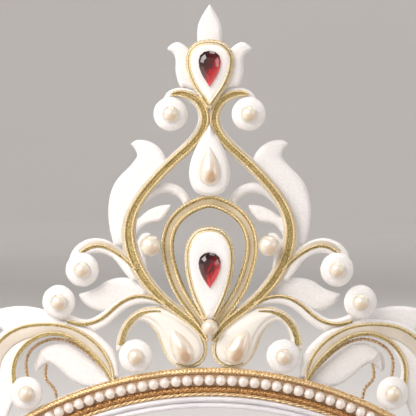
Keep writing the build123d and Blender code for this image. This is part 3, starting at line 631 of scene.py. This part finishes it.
FELT_BACK = -2.6
LEAF_THICK = 2.4
FAN_FOLD = [(16.2, 1.5), (17.15, 2.6)]
for name in SIDES:
    for leaf in ("acanthus_leaf", "arch_leaf", "lower_leaf", "fan_leaf", "outer_leaf"):
        node = f"{leaf}_{name}"
        crease = None
        if leaf == "fan_leaf":
            side = SIDES[name]
            ends = [(side * a * SQUARE, PATTERN_Z + u * SQUARE) for a, u in FAN_FOLD]
            crease = ends[::side]
        leaf_felt = soft_piece(
            node, f"{node}_felt", WHITE_FELT, FELT_BACK, LEAF_THICK, rim=1.4, fall=0.4, dome=0.6, fold=crease,
        )
        put(leaf_felt, "white_felt", node)
    for node in (f"stem_{name}", f"volute_{name}"):
        put(soft_piece(node, f"{node}_felt", WHITE_FELT, 0, FELT, rim=1.3, fall=0.3), "white_felt", node)
    scroll = soft_piece(
        f"comma_scroll_{name}", f"comma_scroll_{name}_satin", CREAM_SATIN, 0, FELT,
        rim=2.0, fall=0.45, dome=1.6, dome_rim=6.0, seam=(1.9, 0.8),
    )
    put(scroll, "cream_satin", f"comma_scroll_{name}")

crest_felt = soft_piece("crest_leaf", "crest_leaf_felt", WHITE_FELT, 0, FELT, rim=1.5, fall=0.35, dome=0.4)
put(crest_felt, "white_felt", "crest_leaf")
put(soft_piece("loop", "loop_cloth", CHAMPAGNE, 0, FELT, rim=1.2, fall=0.25), "champagne_cloth", "loop")
for node in ("crest_pad", "heart_pad", "pendant_pad"):
    pad = soft_piece(
        node, f"{node}_cloth", WHITE_PAD, TRIM, PAD,
        voxel=0.35, rim=3.0, fall=0.35, dome=0.3, dome_rim=6.0,
    )
    put(pad, "white_pad", node)


FRONT_TURN = math.asin(FRONT_HALF_WIDTH / FRONT_RADIUS)
CORNER_X = FRONT_HALF_WIDTH - CORNER_RADIUS * math.sin(FRONT_TURN)
CORNER_Y = AXIS_Y - (FRONT_RADIUS - CORNER_RADIUS) * math.cos(FRONT_TURN)
HALF_WIDTH = CORNER_X + CORNER_RADIUS
BLEND_X = math.sqrt((BAND_BOTTOM_RADIUS + BAND_BLEND) ** 2 - (BAND_BLEND - ARCH_Z) ** 2)


def ring_stations(step):
    """Points once round the inner face of the band, with the direction outwards at each."""
    arcs = [
        ((0.0, AXIS_Y), FRONT_RADIUS, 0.0, FRONT_TURN),
        ((CORNER_X, CORNER_Y), CORNER_RADIUS, FRONT_TURN, math.pi / 2),
        ((HALF_WIDTH, CORNER_Y), None, SIDE_LENGTH, None),
        ((0.0, CORNER_Y + SIDE_LENGTH), HALF_WIDTH, math.pi / 2, math.pi),
    ]
    stations = []
    for (x, y), radius, first, last in arcs:
        if radius is None:
            count = max(int(first / step), 2)
            stations += [(x, y + first * i / count, 1.0, 0.0) for i in range(count)]
            continue
        count = max(int(radius * (last - first) / step), 2)
        for i in range(count):
            turn = first + (last - first) * i / count
            out = (math.sin(turn), -math.cos(turn))
            stations.append((x + radius * out[0], y + radius * out[1], *out))
    rear = (0.0, CORNER_Y + SIDE_LENGTH + HALF_WIDTH, 0.0, 1.0)
    mirrored = [(-x, y, -nx, ny) for x, y, nx, ny in reversed(stations[1:])]
    return stations + [rear] + mirrored


def edge_height(x, y, over):
    """Height of the line that runs this far over the lower edge of the band."""
    x = abs(x)
    if y > CORNER_Y or x > BLEND_X:
        return over
    if x <= BLEND_X * (BAND_BOTTOM_RADIUS + over) / (BAND_BOTTOM_RADIUS + BAND_BLEND):
        return ARCH_Z + math.sqrt((BAND_BOTTOM_RADIUS + over) ** 2 - x * x)
    return BAND_BLEND - math.sqrt((BAND_BLEND - over) ** 2 - (BLEND_X - x) ** 2)


def band_profile():
    """Section of the band as (outwards, over the lower edge, softness), anticlockwise."""
    section = [(0.5, 0.05, 0.0), (2.2, 0.02, 0.0)]
    half = ROLL / 2
    for foot in (0.0, ROLL + ROLL_GROOVE):
        if foot:
            section.append((FELT + 0.12, foot - ROLL_GROOVE / 2, 0.0))
        for step in range(-7, 8):
            turn = math.radians(step * 88 / 7)
            out = FELT + ROLL_DEPTH - half + half * math.cos(turn)
            section.append((out, foot + half + 0.97 * half * math.sin(turn), 1.0 if abs(step) < 7 else 0.3))
    top = BAND_HEIGHT
    shelf = 2 * ROLL + ROLL_GROOVE
    section.append((FELT + 0.06, shelf + 0.25, 0.0))
    section += [(FELT + 0.02, shelf + (top - shelf) * share, 0.0) for share in (0.12, 0.3, 0.5, 0.7, 0.86)]
    section += [(FELT - 0.1, top - 0.6, 0.2), (FELT - 0.6, top - 0.12, 0.4), (FELT / 2, top, 0.6)]
    section += [(0.6, top - 0.12, 0.4), (0.1, top - 0.6, 0.2)]
    section += [(0.02, top * share, 0.5) for share in (0.86, 0.74, 0.62, 0.5, 0.38, 0.26, 0.14)]
    section += [(0.1, 0.5, 0.2)]
    return section


def band_piece():
    """The satin band: a covered wall with two padded rolls, with small pulls in the cloth."""
    section = band_profile()
    stations = ring_stations(0.8)
    run = 0.0
    points = []
    for index, (x, y, nx, ny) in enumerate(stations):
        if index:
            run += math.hypot(x - stations[index - 1][0], y - stations[index - 1][1])
        for out, over, soft in section:
            pull = 0.05 * math.sin(run * 1.9 + over * 3.0) + 0.06 * math.sin(run * 0.83 - over * 2.0)
            pull += 0.04 * math.sin(run * 3.7 + over * 7.0)
            inner = out < 1.0 and 1.0 < over < BAND_HEIGHT - 1.0
            reach = out + soft * pull * (0.6 if inner else 1.0) - (0.1 * soft if inner else 0.05 * soft)
            points.append((x + nx * reach, y + ny * reach, max(edge_height(x, y, over), 0.01)))
    wide = len(section)
    faces = []
    for i in range(len(stations)):
        ahead = (i + 1) % len(stations)
        for j in range(wide):
            after = (j + 1) % wide
            faces.append((i * wide + j, i * wide + after, ahead * wide + after, ahead * wide + j))
    shape = Shape()
    shape.add(points, faces)
    return shape.build("base_band_satin", WHITE_SATIN)


put(band_piece(), "white_satin", "base_band")


# Buttons and round pearls.

def disc_centre(label, side):
    if label == "corner":
        low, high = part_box(f"corner_disc_{'right' if side > 0 else 'left'}")
        return (low.x + high.x) / 2 / MM, (low.z + high.z) / 2 / MM
    across, up = DISCS[label]
    return side * across * SQUARE, PATTERN_Z + up * SQUARE


def seat(x, z, lift):
    """Point on the layer, the direction straight out of it, and one level with it."""
    radius = FRONT_RADIUS + lift
    turn = math.asin(x / radius)
    return (
        np.array([x, AXIS_Y - radius * math.cos(turn), z]),
        np.array([math.sin(turn), -math.cos(turn), 0.0]),
        np.array([math.cos(turn), math.sin(turn), 0.0]),
    )


def wavy(seed, size):
    """Small uneven moves of a surface, the same every run."""
    rng = np.random.default_rng(seed)
    phases = rng.uniform(0, 2 * math.pi, (6, 1))
    ways = rng.normal(0, 1, (6, 3))

    def move(point):
        away = (np.sin(ways @ point * 0.9 + phases[:, 0]) * size).sum() / 6
        return point + np.array([away, away, -away])

    return move


def button(label, name, side):
    x, z = disc_centre(label, side)
    base, out, level = seat(x, z, TRIM)
    half = DISC_DIAMETER / 2
    profile = [(0, 0), (half * 0.5, 0.0), (half * 0.86, 0.05), (half * 0.97, 0.5), (half, 1.2)]
    for step in range(1, 15):
        angle = step / 15 * math.pi / 2
        profile.append((half * math.cos(angle), 1.2 + (DISC_HEIGHT - 1.2) * math.sin(angle)))
    profile.append((0, DISC_HEIGHT))
    shape = Shape()
    shape.lathe(profile, base, out, level, turns=48, squash=wavy(int(abs(x * 7 + z * 3)), 0.12))
    obj = shape.build(f"{label}_disc_{name}_felt", WHITE_FELT)
    put(obj, "white_felt", f"{label}_disc_{name}")


def round_pearl(node, centre, out, level, diameter, rise=0.8):
    """A round pearl on its small flat."""
    half = diameter / 2
    middle = centre + out * (rise - 0.5) * diameter
    start = math.asin(min((rise - 0.5) * 2, 1))
    profile = [(0, -half * math.sin(start))]
    rows = 20
    for step in range(rows):
        angle = -start + (math.pi / 2 + start) * step / rows
        profile.append((half * math.cos(angle), half * math.sin(angle)))
    profile.append((0, half))
    shape = Shape()
    shape.lathe(profile, middle, out, level, turns=36)
    put(shape.build(f"{node}_round", PEARL), "pearl", node)


for name, side in SIDES.items():
    for label in ("top", "side", "low", "inner", "corner"):
        button(label, name, side)
        x, z = disc_centre(label, side)
        disc_seat = seat(x, z, TRIM + DISC_HEIGHT + GAP - DISC_PEARL_SINK)
        round_pearl(f"{label}_pearl_{name}", *disc_seat, DISC_PEARL_DIAMETER, 0.72)
    loop_seat = seat(side * 5.85 * SQUARE, PATTERN_Z + 13.45 * SQUARE, TRIM + CORD_HEIGHT + GAP)
    round_pearl(f"loop_pearl_{name}", *loop_seat, LOOP_PEARL_DIAMETER)
base_seat = seat(0, PATTERN_Z + BASE_PEARL_UP * SQUARE, TRIM + CORD_HEIGHT + GAP)
round_pearl("base_pearl", *base_seat, BASE_PEARL_DIAMETER)


def drop_piece(node, base, out, up_dir, length, width, high):
    """A drop pearl with its flat back on the pad: a turned drop, pressed a little flat."""
    level = np.cross(up_dir, out)
    outline = smooth_line([(r * width / 2, h * length, 0) for r, h in DROP], 0.45)
    profile = [(max(r, 0.0), h) for r, h, _ in outline]
    profile[0] = (0.0, 0.0)
    profile[-1] = (0.0, length)
    shape = Shape()

    def press(point):
        lift = (point - base) @ out
        wanted = lift * 2 * high / width if lift > 0 else lift * 0.02
        return point + out * (wanted - lift)

    shape.lathe(profile, base, up_dir, out, turns=40, squash=press)
    put(shape.build(f"{node}_drop", PEARL_DROP), "pearl", node)


x, z = 0, PATTERN_Z + 23.4 * SQUARE
base, out, level = seat(x, z, TRIM + PAD + GAP)
drop_piece("pendant_pearl", base, out, np.array([0, 0, -1.0]), 14.6, 7.9, 3.9)
for name, side in SIDES.items():
    x, z = side * 4.05 * SQUARE, PATTERN_Z + 5.6 * SQUARE
    base, out, level = seat(x, z, TRIM)
    lean = math.radians(27) * side
    down = -math.cos(lean) * np.array([0, 0, 1.0]) - math.sin(lean) * level
    drop_piece(f"comma_pearl_{name}", base, out, down, 16.4, 8.2, 4.1)


# Pearl row.

def arch_point(angle, radius, lift):
    return on_layer(radius * math.sin(angle), ARCH_Z + radius * math.cos(angle), lift)


BEAD_LIFT = TRIM + BEAD_DIAMETER / 2


def bead_place(angle):
    return arch_point(angle, ARCH_RADIUS, BEAD_LIFT)


def bead_angles():
    """The same places as the strung beads have: pitch measured along the curved row."""
    pitch = BEAD_DIAMETER + BEAD_GAP
    step = pitch / ARCH_RADIUS
    end = math.radians(ROW_END) - step / 2
    angles = [0.0]
    while True:
        last = angles[-1]
        gap = np.linalg.norm(bead_place(last + step) - bead_place(last)) / pitch
        if last + step / gap > end:
            break
        angles.append(last + step / gap)
    return [-angle for angle in reversed(angles[1:])] + angles


row = Shape()
for angle in bead_angles():
    centre = bead_place(angle)
    along = bead_place(angle + 0.01) - bead_place(angle - 0.01)
    along /= np.linalg.norm(along)
    level = np.cross(along, outward(centre))
    level /= np.linalg.norm(level)
    profile = [(0.0, -1.84), (0.5, -1.86), (0.6, -1.94)]
    for step in range(15):
        tilt = math.radians(-70 + 140 * step / 14)
        profile.append((2.05 * math.cos(tilt), 2.05 * math.sin(tilt)))
    profile += [(0.6, 1.94), (0.5, 1.86), (0.0, 1.84)]
    row.lathe(profile, centre, along, level, turns=24)
put(row.build("pearl_string_beads", BEAD), "pearl", "pearl_string")
nodes["pearl_thread"].data.materials.clear()
nodes["pearl_thread"].data.materials.append(THREAD)


# Cords.

def clear(x, z, side):
    """Whether a cord shows here, or runs under a button or pad."""
    for label in ("top", "side", "low", "inner", "corner"):
        cx, cz = disc_centre(label, side)
        if math.hypot(x - cx, z - cz) < DISC_DIAMETER / 2 - 0.6:
            return False
    return not (inside_drop(x, z, CREST_PAD, 1) or inside_drop(x, z, PENDANT_PAD, -1))


def inside_drop(x, z, pad, way):
    across, up, length, width = pad
    share = (z - (PATTERN_Z + up * SQUARE)) * way / length
    if not 0 < share < 1:
        return False
    heights = [h for r, h in DROP]
    reach = np.interp(share, heights, [r for r, h in DROP]) * width / 2
    return abs(x - across * SQUARE) < reach - 0.3


def layer_path(line, lift, side):
    return [on_layer(x, z, lift) for x, z in line[:, :2] if clear(x, z, side)]


def cord(shape, rows, side, radius, lift, shift=0.0, pitch=2.6):
    path = layer_path(pattern_line(rows, side, shift=shift), lift, side)
    shape.twist(path, radius, pitch)


def surface(obj):
    """The front of a piece, as a look-up from a pattern point to its lift."""
    corners = [v.co / MM for v in obj.data.vertices]
    tree = BVHTree.FromPolygons(corners, [p.vertices[:] for p in obj.data.polygons])

    def lift_at(x, z, otherwise):
        hit = tree.ray_cast(Vector((x, -200.0, z)), Vector((0.0, 1.0, 0.0)))[0]
        if hit is None:
            return otherwise
        return math.hypot(hit.x, hit.y - AXIS_Y) - FRONT_RADIUS

    return lift_at


def laid_on(lift_at, line, over, otherwise):
    """Points of a cord that follows a soft surface, evened out along its way."""
    lifts = np.array([lift_at(x, z, otherwise) for x, z in line[:, :2]])
    lifts = np.maximum(lifts, otherwise)
    kernel = np.ones(9) / 9
    padded = np.concatenate([np.full(4, lifts[0]), lifts, np.full(4, lifts[-1])])
    lifts = np.convolve(padded, kernel, mode="valid")
    return [on_layer(x, z, lift + over) for (x, z), lift in zip(line[:, :2], lifts)]


def field(shape, rows, side, width, lift, thick, shift=0.0, bulge=0.3, ribs=0.1, rib_pitch=0.9):
    line = pattern_line(rows, side, shift=shift)
    keep = np.array([clear(x, z, side) for x, z in line[:, :2]])
    line = line[keep]
    shape.ribbon(line, line[:, 2] * width / 2, lift, thick, bulge, ribs=ribs, rib_pitch=rib_pitch)


for name, side in SIDES.items():
    bright = Shape()
    cord(bright, STEM_GOLD, side, 0.52, TRIM + 0.4, shift=1.0)
    cord(bright, STEM_GOLD, side, 0.52, TRIM + 0.4, shift=-1.25)
    cord(bright, BRANCH_1_GOLD, side, 0.42, TRIM + 0.3, shift=0.2)
    cord(bright, BRANCH_2_GOLD, side, 0.42, TRIM + 0.3, shift=0.2)
    put(bright.build(f"stem_cord_{name}_gold", GOLD), "gold_cord", f"stem_cord_{name}")
    matte = Shape()
    field(matte, STEM_GOLD, side, 2.0, TRIM - 0.35, 0.3, shift=-0.12, bulge=0.15)
    field(matte, BRANCH_1_GOLD, side, 0.8, TRIM - 0.35, 0.3, shift=-0.55, bulge=0.1)
    field(matte, BRANCH_2_GOLD, side, 0.8, TRIM - 0.35, 0.3, shift=-0.55, bulge=0.1)
    put(matte.build(f"stem_cord_{name}_field", GOLD_FIELD), "gold_cord")
    # Champagne strips beside the stem's cords: partly champagne backing, partly painted shade on the felt
    # next to the raised cords.
    backing_and_shade = Shape()
    field(backing_and_shade, STEM_GOLD[3:], side, 4.5, FELT - 0.3, 0.32, shift=-0.1, bulge=0.06, ribs=0.0)
    field(backing_and_shade, BRANCH_1_GOLD, side, 2.2, FELT - 0.3, 0.3, shift=0.7, bulge=0.04, ribs=0.0)
    put(backing_and_shade.build(f"stem_backing_shade_strip_{name}", CHAMPAGNE_PALE), "champagne_cloth")

    lines = Shape()
    cord(lines, VOLUTE_LINE_A, side, 0.45, TRIM + 0.3)
    cord(lines, VOLUTE_LINE_B, side, 0.45, TRIM + 0.3)
    put(lines.build(f"volute_cord_{name}_gold", GOLD), "gold_cord", f"volute_cord_{name}")
    # Dark strips beside the volute cords: painted shade under the raised cords.
    shade = Shape()
    field(shade, VOLUTE_LINE_A, side, 0.7, TRIM - 0.1, 0.25, shift=-0.65, bulge=0.1)
    field(shade, VOLUTE_LINE_B, side, 1.0, TRIM - 0.1, 0.25, shift=-0.8, bulge=0.1)
    put(shade.build(f"volute_line_{name}", GOLD_FIELD), "gold_cord")
    wire = Shape()
    for rows in (VOLUTE_WIRE, LEAF_WIRE):
        cord(wire, rows, side, 0.68, 1.2, pitch=3.2)
    put(wire.build(f"volute_wire_{name}", COPPER), "gold_cord")

    lift_at = surface(bpy.data.objects[f"comma_scroll_{name}_satin"])
    edge = Shape()
    line = pattern_line(COMMA_EDGE, side, shift=-0.15)
    shares = np.linspace(0, 1, len(line))
    thin = np.interp(shares, (0, 0.3, 0.42, 0.68, 0.8, 1), (0.44, 0.48, 0.58, 0.55, 0.36, 0.3))
    edge.twist(laid_on(lift_at, line, 0.05, 1.6), thin, 2.8)
    put(edge.build(f"comma_edge_{name}", GOLD), "gold_cord")
    border = Shape()
    line = pattern_line(COMMA_EDGE[6:15], side, shift=0.62)
    border.tube(laid_on(lift_at, line, -0.02, 1.6), 0.26)
    put(border.build(f"comma_border_{name}", GOLD_FIELD), "gold_cord")
    tail = Shape()
    for shift, over in ((-0.35, 0.12), (0.2, 0.16), (-0.9, 0.16)):
        line = pattern_line(COMMA_TAIL, side, shift=shift)
        tail.tube(laid_on(lift_at, line, over, 2.2), 0.36 * line[:, 2])
    put(tail.build(f"comma_tail_{name}", GOLD_FIELD), "gold_cord")


# The loop's cords run round both of its edges.
loop_line = [(-row[0], *row[1:]) for row in reversed(LOOP)] + LOOP[1:]
for_loop = Shape()
for shift in (1.9, -1.35):
    line = pattern_line(loop_line, 1, shift=shift)
    for_loop.twist([on_layer(x, z, TRIM + 0.25) for x, z in line[:, :2]], 0.58, 2.8)
put(for_loop.build("loop_cord_gold", GOLD), "gold_cord", "loop_cord")
# Dark strips beside the loop's cords: painted shade under the raised cords.
loop_shade = Shape()
for shift in (1.2, -1.95):
    line = pattern_line(loop_line, 1, shift=shift)
    loop_shade.ribbon(line, line[:, 2] * 0.35, FELT - 0.25, 0.25, 0.1)
put(loop_shade.build("loop_line", GOLD_FIELD), "gold_cord")


# Cords round the crest and heart pads: a bright one outside, and a dark and a bright one on the shoulder.

def pad_outline(pad, grow):
    """The outline of a pad, moved outwards, from its foot round its right side and back."""
    across, up, length, width = pad
    half = smooth_line([(r * width / 2, PATTERN_Z + up * SQUARE + h * length, 0) for r, h in DROP], 0.3)
    ahead = unit_rows(np.gradient(half[:, :2], axis=0))
    moved = half[:, :2] + np.stack([ahead[:, 1], -ahead[:, 0]], axis=1) * grow
    moved = moved[moved[:, 0] > 0.02]
    right = [tuple(p) for p in moved]
    return right + [(-x, z) for x, z in reversed(right)]


def far_from_base(x, z):
    """Whether a place is clear of the round pearl at the foot of the loop."""
    return math.hypot(x, z - (PATTERN_Z + BASE_PEARL_UP * SQUARE)) > 3.0


def pad_path(pad, grow):
    return [place for place in pad_outline(pad, grow) if far_from_base(*place)]


pad_bright = Shape()
pad_dark = Shape()
for node, pad in (("crest_pad", CREST_PAD), ("heart_pad", HEART_PAD)):
    pad_bright.twist([on_layer(x, z, TRIM + 1.4) for x, z in pad_path(pad, 0.0)], 0.56, 2.8)
    lift_at = surface(bpy.data.objects[f"{node}_cloth"])
    pad_dark.tube(laid_on(lift_at, np.array(pad_path(pad, -0.7)), -0.06, TRIM + 1.0), 0.32)
    pad_bright.tube(laid_on(lift_at, np.array(pad_path(pad, -1.2)), 0.0, TRIM + 1.0), 0.3)
put(pad_bright.build("pad_edge_cords", GOLD), "gold_cord")
put(pad_dark.build("pad_shoulder_cords", GOLD_FIELD), "gold_cord")


# Braids of the band.

def arch_angles(radius, step=0.35):
    """Even turns along the arch, from one end of the braids to the other."""
    end = math.radians(ROW_END)
    count = int(2 * end * radius / step)
    return [end * (2 * i / count - 1) for i in range(count + 1)]


def arch_path(radius, lift):
    return [arch_point(angle, radius, lift) for angle in arch_angles(ARCH_RADIUS)]


def plait(shape, radius, lift, width, strand, period):
    """Flat three-strand plait along the arch."""
    for k in range(3):
        path = []
        for angle in arch_angles(radius):
            phase = 2 * math.pi * (angle * radius / period + k / 3)
            over = lift + strand * 0.7 * math.cos(2 * phase)
            path.append(arch_point(angle, radius + width / 2 * math.sin(phase), over))
        shape.tube(path, strand, sides=6)


upper = Shape()
plait(upper, ARCH_RADIUS + BEAD_ROOM + 1.05, TRIM + 0.55, 1.25, 0.5, 4.6)
upper.twist(arch_path(ARCH_RADIUS + BEAD_ROOM + 2.2, TRIM + 0.45), 0.4, 2.4)
put(upper.build("top_braid_gold", BRAID), "gold_braid", "top_braid")

lower = Shape()
plait(lower, ARCH_RADIUS - BEAD_ROOM - 1.15, TRIM + 0.55, 1.5, 0.52, 5.2)
put(lower.build("bottom_braid_bronze", BRONZE), "bronze_braid", "bottom_braid")
rope = Shape()
rope.twist(arch_path(ARCH_RADIUS - BEAD_ROOM - 3.0, TRIM + 0.6), 0.72, 5.4)
put(rope.build("bottom_braid_rope", BRAID), "bronze_braid")
backing = Shape()
low_edge, high_edge = ARCH_RADIUS - 6.0, ARCH_RADIUS + 4.65
middle = (low_edge + high_edge) / 2
turns = arch_angles(middle, step=0.7)
line = np.array([(middle * math.sin(angle), ARCH_Z + middle * math.cos(angle), 1.0) for angle in turns])
backing.ribbon(line, np.full(len(line), (high_edge - low_edge) / 2), FELT + 0.05, 0.1, across_steps=12)
put(backing.build("braid_backing", BACKING), "gold_braid")


# Champagne cloth between the two lines of each volute.

def resampled(line, count):
    """This many places (x, z), evenly along a line."""
    index = np.linspace(0, 1, count) * (len(line) - 1)
    return np.stack([np.interp(index, range(len(line)), line[:, i]) for i in (0, 1)], axis=1)


CLOTH_WIDTH = 5.2
for name, side in SIDES.items():
    count = 160
    a = resampled(pattern_line(VOLUTE_LINE_A[:11], side), count)
    b = resampled(pattern_line(VOLUTE_LINE_B, side), count)
    cloth = Shape()
    points = []
    across_steps = 8
    for i in range(count):
        width = np.linalg.norm(a[i] - b[i])
        reach = min(1.0, CLOTH_WIDTH / max(width, 0.01))
        for j in range(across_steps + 1):
            share = j / across_steps * reach
            x, z = a[i] * (1 - share) + b[i] * share
            points.append(on_layer(x, z, FELT - 0.1 + 0.35 * math.sin(math.pi * j / across_steps)).tolist())
    cloth.add(points, grid_faces(count, across_steps + 1, ring=False))
    obj = cloth.build(f"volute_cloth_{name}", CHAMPAGNE_PALE)
    solid = obj.modifiers.new("thick", "SOLIDIFY")
    solid.thickness = 0.4 * MM
    solid.offset = 0
    put(obj, "champagne_cloth")


# Stones.

STONE_LENGTH = 13.5
STONE_WIDTH = 8.3


def gem(node, foot_up):
    """Pear-cut stone: girdle, two rows of crown facets and a table."""
    base, out, level = seat(0, PATTERN_Z + foot_up * SQUARE, TRIM + PAD + GAP)
    up_dir = np.array([0, 0, 1.0])
    outline = smooth_line([(r * STONE_WIDTH / 2, h * STONE_LENGTH, 0) for r, h in DROP], 0.1)
    half = [tuple(place) for place in resampled(outline, 9).tolist()]
    half[0] = (0.0, 0.0)
    half[-1] = (0.0, STONE_LENGTH)
    ring = half + [(-r, h) for r, h in reversed(half[1:-1])]
    number = len(ring)
    middle = 0.58 * STONE_LENGTH

    def row_at(share, height):
        return [
            (base + level * r * share + up_dir * (middle + (h - middle) * share) + out * height).tolist()
            for r, h in ring
        ]

    rows = [row_at(0.96, 0.0), row_at(1.0, 0.5), row_at(1.0, 0.75), row_at(0.84, 1.65), row_at(0.56, 2.4)]
    points = sum(rows, [])
    faces = [tuple(reversed(range(number))), tuple(4 * number + i for i in range(number))]
    faces += grid_faces(5, number)
    shape = Shape()
    shape.add(points, faces)
    put(shape.build(f"{node}_stone", RED_STONE, smooth=False), "red_stone", node)


gem("crest_ruby", 29.3)
gem("heart_ruby", 9.2)


# Plain studio: pale floor running up into a backdrop, soft light, and the camera in front.
floor_mat, floor_tree, floor_shader = material("studio")
grain = noise_node(floor_tree, 3.0, 2.0)
tones = [(0.3, (0.62, 0.6, 0.58)), (0.7, (0.64, 0.62, 0.6))]
colour_by(floor_tree, floor_shader, grain.outputs["Fac"], tones)
set_inputs(floor_shader, Roughness=0.9)
sweep = [(0.0, 0.0), (2.0, 0.0), (4.5, 0.0)]
for step in range(1, 17):
    angle = step / 16 * math.pi / 2
    sweep.append((4.5 + 1.5 * math.sin(angle), 1.5 - 1.5 * math.cos(angle)))
sweep.append((6.0, 6.0))
TURNS = 96
floor_mesh = bpy.data.meshes.new("studio_floor")
floor_points = [(0.0, 0.0, 0.0)]
for reach, z in sweep[1:]:
    for turn in range(TURNS):
        angle = 2 * math.pi * turn / TURNS
        floor_points.append((reach * math.cos(angle), reach * math.sin(angle), z))
floor_faces = [(0, 1 + turn, 1 + (turn + 1) % TURNS) for turn in range(TURNS)]
for ring in range(len(sweep) - 2):
    for turn in range(TURNS):
        a = 1 + ring * TURNS + turn
        b = 1 + ring * TURNS + (turn + 1) % TURNS
        floor_faces.append((a, a + TURNS, b + TURNS, b))
floor_mesh.from_pydata(floor_points, [], floor_faces)
floor_mesh.materials.append(floor_mat)
floor_mesh.polygons.foreach_set("use_smooth", [True] * len(floor_mesh.polygons))
floor = new_object("studio_floor", floor_mesh)
floor.location.z = -0.0003

target = Vector((0.0, -0.05, 0.1))


def area(name, place, size, power, colour, aim=target):
    lamp = bpy.data.lights.new(name, "AREA")
    lamp.shape = "RECTANGLE"
    lamp.size = size[0]
    lamp.size_y = size[1]
    lamp.energy = power
    lamp.color = colour
    obj = new_object(name, lamp)
    obj.location = place
    obj.rotation_euler = (Vector(aim) - Vector(place)).to_track_quat("-Z", "Y").to_euler()


area("key", (-0.8, -0.66, 0.82), (0.9, 0.9), 12.6, (1.0, 0.965, 0.94))
area("front", (-0.5, -1.35, 0.8), (0.9, 0.6), 7.8, (1.0, 0.965, 0.95))
area("side", (1.1, -0.7, 0.25), (0.5, 0.7), 2.0, (1.0, 0.96, 0.95))
area("top", (0.1, 0.2, 1.2), (0.9, 0.6), 5.0, (1.0, 0.98, 0.97))
area("rear", (0.7, 1.3, 0.8), (0.8, 0.8), 6.0, (1.0, 0.98, 0.97))
for quarter in range(4):
    x, y = round(math.cos(quarter * math.pi / 2)), round(math.sin(quarter * math.pi / 2))
    place, wall = (3.2 * x, 3.2 * y, 3.2), (5.6 * x, 5.6 * y, 0.4)
    area(f"backdrop_{quarter}", place, (5.0, 1.6), 70.0, (1.0, 0.98, 0.97), wall)
world = bpy.data.worlds.new("studio_light")
world.use_nodes = True
world.node_tree.nodes["Background"].inputs["Color"].default_value = (0.93, 0.92, 0.95, 1.0)
world.node_tree.nodes["Background"].inputs["Strength"].default_value = 0.2
bpy.context.scene.world = world

VIEW_WIDTH = 0.156
DISTANCE = 1.6
camera_data = bpy.data.cameras.new("camera")
camera_data.sensor_width = 36.0
front_plane_y = (AXIS_Y - FRONT_RADIUS - FELT) * MM
camera_data.lens = 36.0 * DISTANCE / VIEW_WIDTH
camera = new_object("camera", camera_data)
aim = Vector((-0.0006, front_plane_y, 0.1057))
elevation = math.radians(1.0)
camera.location = aim + Vector((0, -math.cos(elevation), math.sin(elevation))) * DISTANCE
camera.rotation_euler = (aim - camera.location).to_track_quat("-Z", "Y").to_euler()
bpy.context.scene.camera = camera
bpy.context.scene.view_settings.view_transform = "Standard"
